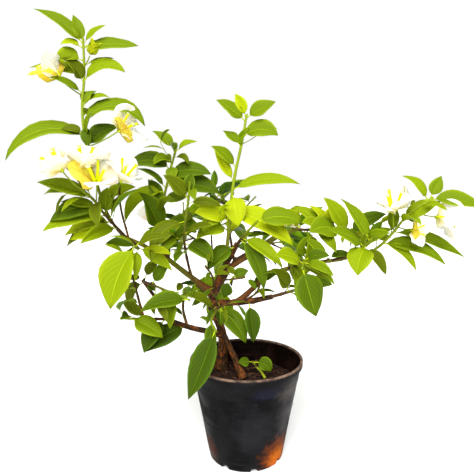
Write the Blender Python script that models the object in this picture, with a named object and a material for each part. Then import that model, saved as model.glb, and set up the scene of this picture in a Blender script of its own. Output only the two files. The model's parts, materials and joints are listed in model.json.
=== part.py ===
"""Bougainvillea bush in its nursery pot: every limb, mass of foliage, pot and soil as its own solid.

Lengths are millimetres until a mesh is made, where MM turns them to metres.  +Z is up, -Y is the
front, and the origin is the centre of the pot's flat underside.
"""
import math
import random
from dataclasses import dataclass

import bmesh
import bpy
from mathutils import Vector
from mathutils.bvhtree import BVHTree

MM = 0.001
GAP = 0.35                 # between solids that meet
GOLDEN_ANGLE = 137.5       # turn from one leaf to the next round its stem, degrees

# ---- pot and soil -------------------------------------------------------------------------------
RIM_RADIUS = 75.0          # outside of the lip
POT_HEIGHT = 134.0
BODY_TOP_RADIUS = 72.0     # outside of the wall, under the lip
BASE_RADIUS = 50.0
WALL = 2.0
FLOOR = 2.5
LIP_HEIGHT = 8.0
LIP_EDGE = 3.5             # thickness of the rolled edge
LIP_ROUND = 1.5            # its rounding
CORNER = 4.0               # rounded bottom corner
RING_DROP = 26.0           # faint step round the wall, below the rim
RING_STEP = 0.6
RING_RISE = 1.2            # height over which the step is made
POT_SEGMENTS = 36
DRAIN_COUNT = 8
DRAIN_RADIUS = 5.0
DRAIN_INSET = 6.0          # how far each notch reaches in from the base's edge
DRAIN_TURN = 0.25          # of the first notch from +X, in spaces between notches
DRAIN_SIDES = 12
SOIL_DROP = 28.0           # soil level below the rim
SOIL_EDGE_DROP = 3.0       # the soil sinks towards the wall
SOIL_SLOPE = 7.0           # over this distance
SOIL_SEGMENTS = 32
SOIL_TOP = POT_HEIGHT - SOIL_DROP

# ---- limbs and blades ---------------------------------------------------------------------------
CURVE_STEPS = 14           # points along a limb or stem
TRUNK_RADIUS = 6.4         # above the root flare
ROOT_FLARE = 3.0           # extra radius where the trunk meets the soil
FLARE_SHARE = 0.10         # share of the trunk over which the flare dies away
STEM_SIDES = 3             # of stems and twigs
STEM_STEPS = 9
STEM_TIP_RADIUS = 1.6
TWIG_RADIUS = 1.6
TWIG_TIP_RADIUS = 1.2
STALK_ROOT_WIDTH = 0.8     # leaf stalk inside its stem, thin enough to stay in it
STALK_WIDTH = 2.2          # leaf stalk where its blade begins
STALK_LENGTH = 12.0
BLADE_THICKNESS = 1.2
KEEL_SHARE = 0.7           # a thin stalk's keel, share of its width
FOLD = 0.10                # how far a blade's edges stand above its rib, share of its width
BLADE_STATIONS = ((0.22, 0.84), (0.52, 0.96), (0.78, 0.52))   # share along the blade, of its width
BRACT_STATIONS = ((0.30, 0.95), (0.66, 0.86))
BRACT_LENGTH = 40.0
BRACT_WIDTH = 28.0
FACE_TILT = 45.0           # how far a blade's face leans from the sky to the light, degrees
LEAVING_ANGLE = 55.0       # between a stem and its leaf or twig, degrees
LEAVING_SPREAD = 12.0      # either way from it
STEM_LEAF_ZONE = (0.12, 0.97)    # shares of a stem between which the rule sets its leaves
TWIG_LEAF_ZONE = (0.25, 0.97)
TWIG_ZONE = (0.30, 0.90)   # shares of a stem between which its twigs leave
TWIG_ROOT_CLEAR = 0.12     # share of a twig that may touch what bears it
TWIG_STEPS = 5
STALK_STEPS = 3            # of a bloom's stalk
BRACT_SEAT = 0.97          # share of a bloom's stalk where its bracts leave
BRACT_DROOP = 25.0
BRACT_STALK = 4.0
SWELL = 1.0                # a blade is grown by this much when its clearance is tested
JOIN_TRIES = (("EXACT", 2e-6), ("MANIFOLD", 2e-6), ("MANIFOLD", 5e-7), ("EXACT", 5e-7))   # and welds, m
FLAT_ANGLE = 1.0           # degrees: faces flatter than this to each other are one


@dataclass(frozen=True)
class Limb:
    """One tapering limb: where it leaves its parent, the points it passes, and its radii."""

    name: str
    parent: str
    at: float              # share of the parent's length where it starts
    guides: tuple
    radius: float
    tip_radius: float
    sides: int = 8


@dataclass(frozen=True)
class Leaf:
    """A leaf set by hand on a stem: share along it, reach to the tip, compass bearing and rise."""

    at: float
    reach: float
    bearing: float
    rise: float
    droop: float
    width: float


@dataclass(frozen=True)
class Bloom:
    """A bloom of three papery bracts on a stalk."""

    at: float
    reach: float
    bearing: float
    rise: float
    turn: float = 0.0
    size: float = 1.0
    opening: float = 42.0  # of the bracts from the stalk, degrees


@dataclass(frozen=True)
class Mass:
    """One mass of foliage: its stem, the space it keeps to, and how its rule fills that space."""

    name: str
    bough: str
    at: float
    guides: tuple
    radius: float
    space: float           # furthest a tip may lie from the stem
    leaf: float            # length of a usual leaf
    leaves: int            # leaves that the rule tries on the stem
    seed: int
    twigs: int = 0
    twig: float = 55.0     # length of a usual side twig
    twig_leaves: int = 5
    own: tuple = ()
    blooms: tuple = ()
    front: bool = True     # its faces look to the front rather than outwards


TRUNK_FOOT = (-34, 32, SOIL_TOP + GAP)
STEM_FOOT = (-4, -3, SOIL_TOP + GAP)
SHOOT_FOOT = (25, -3, SOIL_TOP + GAP)

LIMBS = (
    Limb("trunk", "", 0.0, (TRUNK_FOOT, (-33, 24, 160), (-47, 20, 201), (-36, 16, 238), (-12, 10, 286)),
         TRUNK_RADIUS, 3.6, 10),
    Limb("front_stem", "", 0.0, (STEM_FOOT, (-15, 4, 130), (-30, 18, 160)), 5.0, 3.2),
    Limb("pot_shoot", "", 0.0, (SHOOT_FOOT, (20, -1, 114), (13, 1, 121)), 1.8, 1.4, 6),
    Limb("right_low_bough", "trunk", 0.52, ((-2, 0, 210), (32, -20, 222)), 4.4, 3.2),
    Limb("right_mid_bough", "right_low_bough", 0.42, ((30, 6, 243), (77, 14, 257), (129, 20, 263)),
         3.6, 2.2),
    Limb("right_high_bough", "trunk", 0.76, ((0, 20, 266), (41, 30, 291), (71, 40, 302)), 3.6, 2.4),
    Limb("left_low_bough", "trunk", 0.27, ((-76, 10, 172), (-106, 0, 187)), 4.2, 2.8),
    Limb("left_mid_bough", "left_low_bough", 0.90, ((-120, 8, 212), (-139, 14, 236)), 2.7, 2.0, 6),
    Limb("left_high_bough", "trunk", 0.60, ((-76, 24, 239), (-111, 34, 264)), 4.2, 3.2),
    Limb("left_reach_bough", "left_high_bough", 0.97, ((-137, 30, 279), (-167, 24, 295)), 3.0, 2.4, 6),
    Limb("back_bough", "trunk", 0.56, ((-30, 72, 228), (-14, 122, 246)), 4.0, 2.8),
)

MASSES = (
    Mass("left_leader", "left_reach_bough", 0.98,
         ((-186, 22, 327), (-206, 26, 395), (-216, 32, 452), (-213, 38, 505), (-214, 42, 553)),
         radius=2.3, space=120, leaf=42, leaves=6, seed=56,
         own=(Leaf(0.97, 73, -170, 52, 35, 29), Leaf(0.97, 44, 146, 73, 15, 14),
              Leaf(0.97, 40, -14, 50, 34, 12), Leaf(0.96, 76, -9, 8, 20, 26),
              Leaf(0.79, 68, -15, 54, 92, 22), Leaf(0.95, 30, -160, 36, 62, 16),
              Leaf(0.78, 43, -138, 70, 55, 23), Leaf(0.82, 80, 170, 27, 35, 20),
              Leaf(0.66, 30, 20, 66, 30, 20), Leaf(0.59, 100, -8, 52, 112, 30),
              Leaf(0.52, 119, -172, 30, 94, 30), Leaf(0.58, 34, -50, -42, 50, 13),
              Leaf(0.47, 50, 17, 54, 40, 25), Leaf(0.95, 30, -10, 24, 45, 14),
              Leaf(0.89, 38, -168, 24, 55, 22), Leaf(0.68, 40, -6, 42, 60, 12),
              Leaf(0.53, 32, -168, 42, 60, 15)),
         blooms=(Bloom(0.72, 34, -159, 29, 60, 1.05, 30), Bloom(0.86, 17, -25, 45, 20, 0.6, 17),
                 Bloom(0.47, 50, -13, 16, 340, 1.0, 42))),
    Mass("left_cluster", "left_reach_bough", 0.9, ((-182, 4, 323), (-193, -16, 347), (-210, -36, 367)),
         radius=2.1, space=95, leaf=46, leaves=6, seed=30,
         own=(Leaf(0.69, 68, -171, 30, 25, 18), Leaf(0.76, 62, 169, 22, 45, 20),
              Leaf(0.52, 67, -173, 10, 50, 30), Leaf(0.39, 82, -165, 8, 42, 28),
              Leaf(0.26, 72, 173, 8, 46, 23), Leaf(0.20, 60, -164, -6, 18, 27),
              Leaf(0.30, 78, 166, -6, 45, 23), Leaf(0.39, 41, -61, 82, 30, 19)),
         blooms=(Bloom(0.95, 21, -145, 40, 0, 1.05, 40), Bloom(0.83, 26, -60, 67, 60, 1.1, 38),
                 Bloom(0.61, 32, -69, 41, 20, 1.1, 42), Bloom(0.43, 53, -33, 44, 80, 1.1, 42))),
    Mass("left_hanging", "left_reach_bough", 0.8, ((-140, 0, 281), (-136, -44, 290)),
         radius=1.9, space=90, leaf=44, leaves=5, seed=52,
         own=(Leaf(0.97, 82, -166, -58, 20, 44), Leaf(0.35, 47, 168, 20, 30, 13))),
    Mass("left_centre", "left_high_bough", 0.9, ((-118, 38, 306), (-106, 42, 369), (-94, 46, 414)),
         radius=2.2, space=80, leaf=46, leaves=8, seed=54,
         own=(Leaf(0.97, 40, 180, 48, 20, 16), Leaf(0.95, 35, -18, 34, 25, 15),
              Leaf(0.79, 62, -167, 52, 96, 25), Leaf(0.74, 63, -15, 31, 58, 26),
              Leaf(0.65, 77, -8, 18, 50, 31), Leaf(0.49, 42, 154, 69, 25, 16),
              Leaf(0.26, 64, -142, 77, 35, 28), Leaf(0.22, 62, -25, 38, 40, 33),
              Leaf(0.20, 37, -129, 21, 40, 16), Leaf(0.60, 76, 178, 6, 85, 24),
              Leaf(0.86, 32, -140, 34, 84, 14), Leaf(0.90, 30, -35, 14, 66, 12),
              Leaf(0.85, 28, -85, -48, 24, 15))),
    Mass("left_inner", "left_high_bough", 0.45, ((-81, 4, 291), (-74, -6, 344), (-71, -12, 367)),
         radius=2.0, space=70, leaf=44, leaves=10, seed=8,
         own=(Leaf(0.82, 46, -154, 62, 35, 19), Leaf(0.84, 34, 69, 86, 30, 14),
              Leaf(0.61, 62, -155, -8, 60, 26), Leaf(0.38, 49, -28, -3, 45, 24))),
    Mass("left_mid", "left_mid_bough", 0.95, ((-125, -8, 236), (-71, -30, 220)),
         radius=1.8, space=70, leaf=44, leaves=8, seed=5,
         own=(Leaf(0.98, 62, -160, 6, 30, 21), Leaf(0.02, 41, 166, -27, 50, 19),
              Leaf(0.34, 38, -14, 63, 30, 17))),
    Mass("left_low", "left_low_bough", 0.98, ((-138, -14, 191), (-161, -24, 195)),
         radius=2.2, space=70, leaf=42, leaves=7, seed=7,
         own=(Leaf(0.79, 51, -18, -9, 30, 23), Leaf(0.04, 52, -132, -28, 35, 24),
              Leaf(0.48, 39, 166, 44, 20, 13))),
    Mass("front_low", "trunk", 0.46, ((-37, -8, 204), (-44, -42, 198), (-37, -72, 194)),
         radius=2.0, space=90, leaf=42, leaves=4, seed=36,
         own=(Leaf(0.97, 86, -154, -66, 0, 27), Leaf(0.28, 60, -24, -24, 45, 24),
              Leaf(0.80, 20, -158, 59, 50, 5))),
    Mass("centre_leader", "trunk", 0.82, ((-23, 8, 307), (-17, 4, 364), (-6, 6, 417), (0, 10, 452)),
         radius=2.6, space=90, leaf=44, leaves=6, seed=14,
         own=(Leaf(0.95, 46, -168, 47, 25, 22), Leaf(0.97, 36, 150, 71, 15, 13),
              Leaf(0.97, 43, -12, 40, 25, 21), Leaf(0.85, 50, -18, 42, 82, 24),
              Leaf(0.79, 33, 157, 54, 30, 14), Leaf(0.65, 44, -159, 56, 35, 21),
              Leaf(0.51, 89, -9, 30, 50, 17), Leaf(0.56, 48, 178, 63, 8, 15),
              Leaf(0.48, 47, -70, -38, 42, 26), Leaf(0.37, 96, -22, -3, 45, 28),
              Leaf(0.30, 49, -165, 38, 45, 25), Leaf(0.25, 49, -152, 12, 50, 24))),
    Mass("centre_crown", "trunk", 0.97, ((-6, -12, 297), (13, -34, 320)),
         radius=2.0, space=85, leaf=46, leaves=3, seed=6,
         own=(Leaf(0.42, 64, -15, -21, 25, 18), Leaf(0.35, 74, -22, -33, 60, 19),
              Leaf(0.03, 46, -165, -18, 42, 26), Leaf(0.95, 60, 12, 24, 50, 26))),
    Mass("right_high", "right_high_bough", 0.98, ((101, 34, 300), (142, 24, 295)),
         radius=2.0, space=85, leaf=46, leaves=8, seed=5,
         own=(Leaf(0.07, 41, -153, 56, 30, 19), Leaf(0.47, 55, 169, 66, 60, 19),
              Leaf(0.55, 42, 34, 75, 20, 17), Leaf(0.91, 62, -167, 70, 30, 23),
              Leaf(0.50, 45, -144, 43, 50, 22), Leaf(0.96, 61, 13, 47, 40, 19),
              Leaf(0.79, 58, -147, 35, 60, 31), Leaf(0.62, 48, 172, 80, 60, 15))),
    Mass("right_mid", "right_mid_bough", 0.9, ((142, 0, 276), (158, -14, 294)),
         radius=1.9, space=80, leaf=44, leaves=5, seed=22,
         own=(Leaf(0.94, 66, 170, 68, 25, 20), Leaf(0.77, 62, -156, 44, 40, 24),
              Leaf(0.83, 48, -120, -26, 40, 29), Leaf(0.73, 50, 8, -30, 34, 16),
              Leaf(0.62, 37, -139, 48, 30, 16), Leaf(0.97, 31, -41, 75, 30, 12))),
    Mass("right_tip", "right_mid_bough", 0.98,
         ((169, 22, 274), (192, 14, 298), (210, 8, 324), (239, 2, 347)),
         radius=2.1, space=115, leaf=46, leaves=7, seed=49,
         own=(Leaf(0.41, 89, -10, 8, 52, 21), Leaf(0.56, 107, 5, -13, 14, 21),
              Leaf(0.67, 54, -15, 45, 30, 19), Leaf(0.97, 63, -13, 5, 26, 22),
              Leaf(0.95, 50, -171, 62, 44, 20), Leaf(0.97, 34, 20, 66, 10, 16),
              Leaf(0.69, 32, 15, 4, 30, 13)),
         blooms=(Bloom(0.56, 31, -116, 52, 20, 1.1, 38), Bloom(0.61, 20, -50, -14, 60, 0.65, 40),
                 Bloom(0.79, 30, -12, -20, 90, 1.0, 36))),
    Mass("right_low", "right_low_bough", 0.97, ((57, -26, 231), (81, -30, 240)),
         radius=2.4, space=80, leaf=46, leaves=6, seed=52,
         own=(Leaf(0.81, 37, 150, 72, 30, 16), Leaf(0.90, 33, -30, 29, 40, 14),
              Leaf(0.46, 41, -157, 66, 30, 19))),
    Mass("right_hanging", "right_mid_bough", 0.52, ((70, -24, 270), (64, -60, 266)),
         radius=1.9, space=85, leaf=46, leaves=5, seed=45,
         own=(Leaf(0.97, 64, -19, -70, 6, 36), Leaf(0.80, 43, -153, 40, 44, 22),
              Leaf(0.70, 50, -16, -24, 40, 19), Leaf(0.60, 34, -25, 34, 40, 15))),
    Mass("pot_leaf", "pot_shoot", 0.90, ((9, 2, 127),),
         radius=1.4, space=60, leaf=30, leaves=0, seed=60,
         own=(Leaf(0.80, 31, -160, 35, 80, 20), Leaf(0.55, 24, -10, 10, 40, 12))),
    Mass("back_right", "back_bough", 0.97, ((30, 140, 268), (78, 150, 300)),
         radius=2.2, space=90, leaf=50, leaves=9, seed=25, twigs=4,
         blooms=(Bloom(0.85, 34, 70, 0, 0),), front=False),
    Mass("back_left", "back_bough", 0.80, ((-58, 130, 262), (-112, 128, 298)),
         radius=2.2, space=90, leaf=50, leaves=9, seed=16, twigs=4,
         blooms=(Bloom(0.95, 34, 120, 45, 30),), front=False),
    Mass("back_crown", "back_bough", 0.92, ((-26, 120, 300), (-34, 104, 350)),
         radius=2.2, space=85, leaf=48, leaves=10, seed=43, twigs=4, front=False),
    Mass("back_low", "back_bough", 0.60, ((-40, 110, 196), (-46, 150, 190)),
         radius=2.0, space=75, leaf=46, leaves=8, seed=40, twigs=2, front=False),
)


# ---- curves -------------------------------------------------------------------------------------
def smooth_curve(guides, steps=CURVE_STEPS):
    """Points of a Catmull-Rom curve through the guide points, the ends mirrored outwards."""
    guides = [Vector(point) for point in guides]
    if len(guides) == 2:
        guides.insert(1, (guides[0] + guides[1]) / 2)
    knots = [2 * guides[0] - guides[1], *guides, 2 * guides[-1] - guides[-2]]
    spans = len(guides) - 1
    points = []
    for step in range(steps + 1):
        place = step / steps * spans
        span = min(int(place), spans - 1)
        t = place - span
        a, b, c, d = knots[span:span + 4]
        points.append(0.5 * (2 * b + (c - a) * t + (2 * a - 5 * b + 4 * c - d) * t ** 2
                             + (3 * b - a - 3 * c + d) * t ** 3))
    return points


def along(points, share):
    """The point and the unit direction at a share of a polyline's length."""
    lengths = [(b - a).length for a, b in zip(points, points[1:])]
    left = share * sum(lengths)
    for index, length in enumerate(lengths):
        if left <= length or index == len(lengths) - 1:
            direction = (points[index + 1] - points[index]).normalized()
            return points[index] + direction * left, direction
        left -= length


def compass(bearing, rise):
    """The unit direction at a compass bearing and a rise above level, in degrees."""
    turn, lift = math.radians(bearing), math.radians(rise)
    return Vector((math.cos(lift) * math.cos(turn), math.cos(lift) * math.sin(turn), math.sin(lift)))


@dataclass(frozen=True)
class Arc:
    """A path that leaves its root at a bearing and a rise and bends down by its droop."""

    root: Vector
    bearing: float
    rise: float
    droop: float
    reach: float

    def point(self, share):
        """The point at a share of the reach."""
        level = compass(self.bearing, 0)
        start, bend = math.radians(self.rise), math.radians(self.droop or 0.01)
        out = (math.sin(start) - math.sin(start - bend * share)) / bend
        up = (math.cos(start - bend * share) - math.cos(start)) / bend
        return self.root + (level * out + Vector((0, 0, up))) * self.reach

    def direction(self, share):
        """The unit direction at a share of the reach."""
        return compass(self.bearing, self.rise - self.droop * share)

    def points(self, steps):
        """Evenly spaced points from root to tip."""
        return [self.point(step / steps) for step in range(steps + 1)]


def arc_towards(root, direction, droop, reach):
    """An arc that leaves its root in a given direction."""
    bearing = math.degrees(math.atan2(direction.y, direction.x))
    return Arc(root, bearing, math.degrees(math.asin(max(-1.0, min(1.0, direction.z)))), droop, reach)


# ---- sections of blades and stems ---------------------------------------------------------------
@dataclass(frozen=True)
class Blade:
    """A leaf or a bract as it grows: its path, its stalk, its widths and the way its face looks."""

    arc: Arc
    stalk: float
    width: float
    light: Vector
    stations: tuple

    def section(self, share, width, swell=0.0):
        """Three corners across the path: left edge, right edge and the keel under the rib."""
        place, forward = self.arc.point(share), self.arc.direction(share)
        top = (self.light - forward * self.light.dot(forward)).normalized()
        side = top.cross(forward)
        half = width / 2 + swell
        keel = min(BLADE_THICKNESS, width * KEEL_SHARE) + swell
        lift = width * FOLD + swell
        return [place + side * half + top * lift, place - side * half + top * lift, place - top * keel]

    def sections(self, swell=0.0, blade_only=False):
        """Sections from the root to just short of the tip."""
        stalk_share = self.stalk / self.arc.reach
        rows = [] if blade_only else [self.section(0.0, STALK_ROOT_WIDTH, swell)]
        rows.append(self.section(stalk_share + 0.02, STALK_WIDTH, swell))
        for share, width in self.stations:
            rows.append(self.section(stalk_share + (1 - stalk_share) * share, self.width * width, swell))
        return rows

    def tip(self, swell=0.0):
        """The pointed end."""
        return self.arc.point(1.0) + self.arc.direction(1.0) * swell


def tube_sections(points, radii, sides, level_foot=False):
    """Rings of corners round a polyline, carried along it without twisting."""
    rings = []
    reference = Vector((0.31, 0.95, 0.1))
    for index, point in enumerate(points):
        before, after = points[max(index - 1, 0)], points[min(index + 1, len(points) - 1)]
        forward = (after - before).normalized()
        if level_foot and index == 0:
            forward = Vector((0, 0, 1))
        reference = (reference - forward * reference.dot(forward)).normalized()
        side = forward.cross(reference)
        rings.append([point + (reference * math.cos(2 * math.pi * k / sides)
                               + side * math.sin(2 * math.pi * k / sides)) * radii[index]
                      for k in range(sides)])
    return rings


def facets(rings, tip=None):
    """Corners and triangles of a closed skin over rings of corners, ending in a tip or a flat cap."""
    sides = len(rings[0])
    corners = [corner for ring in rings for corner in ring]
    faces = [(0, k + 1, k) for k in range(1, sides - 1)]
    for row in range(len(rings) - 1):
        for k in range(sides):
            a, b = row * sides + k, row * sides + (k + 1) % sides
            faces += [(a, b, b + sides), (a, b + sides, a + sides)]
    last = (len(rings) - 1) * sides
    if tip is None:
        faces += [(last, last + k, last + k + 1) for k in range(1, sides - 1)]
    else:
        corners.append(tip)
        faces += [(last + k, last + (k + 1) % sides, len(corners) - 1) for k in range(sides)]
    return corners, faces


# ---- clearance ----------------------------------------------------------------------------------
class Clearance:
    """Everything that has grown so far, for testing whether a new twig or leaf would touch it."""

    def __init__(self):
        self.things = []

    def add(self, owner, part, corners, faces):
        """Keep a solid under its owner's name and its own."""
        centre = sum(corners, Vector()) / len(corners)
        radius = max((corner - centre).length for corner in corners)
        self.things.append((owner, part, centre, radius, BVHTree.FromPolygons(corners, faces)))

    def is_free(self, corners, faces, skip):
        """True where the solid crosses nothing but the things that skip(owner, part) names."""
        centre = sum(corners, Vector()) / len(corners)
        radius = max((corner - centre).length for corner in corners)
        tree = None
        for owner, part, other, other_radius, other_tree in self.things:
            if (centre - other).length > radius + other_radius or skip(owner, part):
                continue
            tree = tree or BVHTree.FromPolygons(corners, faces)
            if tree.overlap(other_tree):
                return False
        return True


def outside_pot(corners):
    """True where every corner is above the rim or well clear of the pot's outside."""
    return all(corner.z > POT_HEIGHT + 4 or math.hypot(corner.x, corner.y) > RIM_RADIUS + 4
               for corner in corners)


# ---- the growth rule ----------------------------------------------------------------------------
class Bush:
    """Grows every limb, stem, twig, leaf and bract of the plant from the tables above."""

    def __init__(self):
        self.clearance = Clearance()
        self.curves = {}
        self.radii = {}
        self.stems = {mass.name: [] for mass in MASSES}    # (points, radii) of stem and twigs
        self.blades = {mass.name: [] for mass in MASSES}   # every Blade of a mass

    def grow(self):
        """Limbs first, then stems, then what is set by hand, and the rule's twigs and leaves last."""
        for limb in LIMBS:
            self.grow_limb(limb)
        for mass in MASSES:
            self.grow_stem(mass)
        for mass in MASSES:
            self.grow_blooms(mass)
            self.grow_own_leaves(mass)
        for mass in MASSES:
            self.grow_by_rule(mass)
        return self

    def grow_limb(self, limb):
        """Lay a limb's curve and its radii, with a root flare where it stands on the soil."""
        guides = limb.guides
        if limb.parent:
            guides = (along(self.curves[limb.parent], limb.at)[0], *guides)
        points = smooth_curve(guides)
        radii = []
        for step in range(len(points)):
            share = step / (len(points) - 1)
            radius = limb.radius + (limb.tip_radius - limb.radius) * share
            if not limb.parent:
                radius += ROOT_FLARE * (limb.radius / TRUNK_RADIUS) ** 2 * math.exp(-share / FLARE_SHARE)
            radii.append(radius)
        self.curves[limb.name], self.radii[limb.name] = points, radii
        swollen = [radius + SWELL for radius in radii]
        self.clearance.add(limb.name, "limb", *facets(tube_sections(points, swollen, limb.sides)))

    def grow_stem(self, mass):
        """Lay a mass's one stem from its bough, tapering to its tip."""
        root = along(self.curves[mass.bough], mass.at)[0]
        points = smooth_curve((root, *mass.guides), STEM_STEPS)
        self.add_wood(mass, points, mass.radius, STEM_TIP_RADIUS, "stem")

    def add_wood(self, mass, points, radius, tip_radius, part):
        """Keep a stem or a twig."""
        last = len(points) - 1
        radii = [radius + (tip_radius - radius) * step / last for step in range(last + 1)]
        self.stems[mass.name].append((points, radii))
        self.clearance.add(mass.name, part, *facets(tube_sections(points, radii, STEM_SIDES)))

    def add_blade(self, mass, blade, always=False):
        """Keep a leaf or a bract unless it would leave its mass's space or touch something."""
        full = facets(blade.sections(SWELL), blade.tip(SWELL))
        inner = facets(blade.sections(0.0, blade_only=True), blade.tip())
        stem = self.stems[mass.name][0][0]
        tip = blade.tip()
        in_space = always or min((tip - point).length for point in stem) <= mass.space
        clear = ((outside_pot(full[0]) or mass.bough == "pot_shoot")
                 and self.clearance.is_free(*full, lambda owner, part: owner in (mass.name, mass.bough))
                 and (always or self.clearance.is_free(
                     *inner, lambda owner, part: owner not in (mass.name, mass.bough))))
        if in_space and clear:
            self.blades[mass.name].append(blade)
            self.clearance.add(mass.name, "blade", *facets(blade.sections(), blade.tip()))

    def light_at(self, mass, place):
        """The way a leaf's face looks: up, and to the front or outwards from the crown."""
        outward = Vector((0, -1, 0)) if mass.front else Vector((place.x * 0.5, place.y, 0)).normalized()
        tilt = math.radians(FACE_TILT)
        return Vector((0, 0, math.cos(tilt))) + outward * math.sin(tilt)

    def grow_own_leaves(self, mass):
        """Place the leaves that are set by hand on a mass's stem."""
        stem = self.stems[mass.name][0][0]
        for leaf in mass.own:
            root = along(stem, leaf.at)[0]
            arc = Arc(root, leaf.bearing, leaf.rise, leaf.droop, leaf.reach)
            blade = Blade(arc, STALK_LENGTH, leaf.width, self.light_at(mass, root), BLADE_STATIONS)
            self.add_blade(mass, blade, always=True)

    def grow_blooms(self, mass):
        """Place each bloom: a stalk and three bracts that open round its end."""
        stem = self.stems[mass.name][0][0]
        for bloom in mass.blooms:
            root = along(stem, bloom.at)[0]
            arc = Arc(root, bloom.bearing, bloom.rise, -15, bloom.reach)
            self.add_wood(mass, arc.points(STALK_STEPS), TWIG_TIP_RADIUS, TWIG_TIP_RADIUS, "stalk")
            axis = arc.direction(1.0)
            across = axis.orthogonal().normalized()
            around = axis.cross(across)
            opening = math.radians(bloom.opening)
            for petal in range(3):
                turn = math.radians(bloom.turn + 120 * petal)
                spread = across * math.cos(turn) + around * math.sin(turn)
                heading = axis * math.cos(opening) + spread * math.sin(opening)
                path = arc_towards(arc.point(BRACT_SEAT), heading, BRACT_DROOP, BRACT_LENGTH * bloom.size)
                bract = Blade(path, BRACT_STALK, BRACT_WIDTH * bloom.size, axis, BRACT_STATIONS)
                self.add_blade(mass, bract, always=True)

    def grow_by_rule(self, mass):
        """Side twigs round the stem at the golden angle, then leaves on the stem and on each twig."""
        chance = random.Random(mass.seed)
        stem = self.stems[mass.name][0][0]
        bearers = [(stem, mass.leaves, STEM_LEAF_ZONE)]
        for index in range(mass.twigs):
            share = TWIG_ZONE[0] + (TWIG_ZONE[1] - TWIG_ZONE[0]) * (index + 0.5) / mass.twigs
            root, forward = along(stem, share)
            heading = self.leaving(forward, index * GOLDEN_ANGLE + chance.uniform(0, 360), LEAVING_ANGLE)
            arc = arc_towards(root, heading, chance.uniform(-30, 10), mass.twig * chance.uniform(0.8, 1.2))
            points = arc.points(TWIG_STEPS)
            swollen = [TWIG_RADIUS + SWELL] * len(points)
            clear_points = [point + (points[-1] - points[0]) * TWIG_ROOT_CLEAR for point in points]
            solid = facets(tube_sections(clear_points, swollen, STEM_SIDES))
            if self.clearance.is_free(*solid, lambda owner, part: owner == mass.name and part == "stem"):
                self.add_wood(mass, points, TWIG_RADIUS, TWIG_TIP_RADIUS, "twig")
                bearers.append((points, mass.twig_leaves, TWIG_LEAF_ZONE))
        for points, count, (first, last) in bearers:
            turn = chance.uniform(0, 360)
            for index in range(count):
                share = first + (last - first) * (index + chance.uniform(0.2, 0.8)) / count
                root, forward = along(points, share)
                angle = LEAVING_ANGLE + chance.uniform(-LEAVING_SPREAD, LEAVING_SPREAD)
                heading = self.leaving(forward, turn + index * GOLDEN_ANGLE, angle)
                size = mass.leaf * (1.1 - 0.35 * share) * chance.uniform(0.85, 1.15) + STALK_LENGTH
                arc = arc_towards(root, heading, chance.uniform(25, 65), size)
                width = (size - STALK_LENGTH) * chance.uniform(0.44, 0.54)
                blade = Blade(arc, STALK_LENGTH, width, self.light_at(mass, root), BLADE_STATIONS[:2])
                self.add_blade(mass, blade)

    @staticmethod
    def leaving(forward, turn, angle):
        """The direction that leaves a stem at an angle, turned round it."""
        across = forward.orthogonal().normalized()
        around = forward.cross(across)
        spread = across * math.cos(math.radians(turn)) + around * math.sin(math.radians(turn))
        return forward * math.cos(math.radians(angle)) + spread * math.sin(math.radians(angle))


# ---- meshes -------------------------------------------------------------------------------------
def material(name, colour, roughness):
    """A plain Principled finish."""
    finish = bpy.data.materials.new(name)
    finish.use_nodes = True
    shader = finish.node_tree.nodes["Principled BSDF"]
    shader.inputs["Base Color"].default_value = (*colour, 1.0)
    shader.inputs["Roughness"].default_value = roughness
    shader.inputs["Metallic"].default_value = 0.0
    return finish


def solid_object(name, corners, faces, finish, collection=None):
    """A named object from millimetre corners and faces, facing outwards."""
    work = bmesh.new()
    vertices = [work.verts.new(Vector(corner) * MM) for corner in corners]
    for face in faces:
        work.faces.new([vertices[index] for index in face])
    bmesh.ops.recalc_face_normals(work, faces=work.faces[:])
    mesh = bpy.data.meshes.new(name)
    work.to_mesh(mesh)
    work.free()
    mesh.materials.append(finish)
    thing = bpy.data.objects.new(name, mesh)
    (collection or bpy.context.scene.collection).objects.link(thing)
    return thing


def turned_object(name, profile, segments, finish):
    """A closed profile of (radius, height) pairs, spun round the Z axis."""
    work = bmesh.new()
    rail = [work.verts.new((radius * MM, 0, height * MM)) for radius, height in profile]
    edges = [work.edges.new(pair) for pair in zip(rail, rail[1:])]
    bmesh.ops.spin(work, geom=rail + edges, cent=(0, 0, 0), axis=(0, 0, 1), angle=2 * math.pi,
                   steps=segments, use_merge=True)
    bmesh.ops.remove_doubles(work, verts=work.verts[:], dist=1e-6)
    bmesh.ops.recalc_face_normals(work, faces=work.faces[:])
    mesh = bpy.data.meshes.new(name)
    work.to_mesh(mesh)
    work.free()
    mesh.materials.append(finish)
    mesh.shade_smooth()
    mesh.set_sharp_from_angle(angle=math.radians(35))
    thing = bpy.data.objects.new(name, mesh)
    bpy.context.scene.collection.objects.link(thing)
    return thing


def apply_modifiers(thing):
    """Bake an object's modifiers into its mesh."""
    graph = bpy.context.evaluated_depsgraph_get()
    baked = bpy.data.meshes.new_from_object(thing.evaluated_get(graph))
    thing.modifiers.clear()
    thing.data = baked


def cut(thing, cutter):
    """Take one object's shape out of another's and remove the cutter."""
    boolean = thing.modifiers.new("cut", "BOOLEAN")
    boolean.operation, boolean.solver, boolean.object = "DIFFERENCE", "EXACT", cutter
    apply_modifiers(thing)
    bpy.data.objects.remove(cutter)


def shell_volumes(mesh_work):
    """Each connected shell's faces and signed volume."""
    left = set(mesh_work.faces)
    shells = []
    while left:
        queue = [left.pop()]
        shell = []
        while queue:
            face = queue.pop()
            shell.append(face)
            for edge in face.edges:
                for other in edge.link_faces:
                    if other in left:
                        left.remove(other)
                        queue.append(other)
        volume = sum(face.calc_center_median().dot(face.normal) * face.calc_area() / 3 for face in shell)
        shells.append((volume, shell))
    return shells


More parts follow.
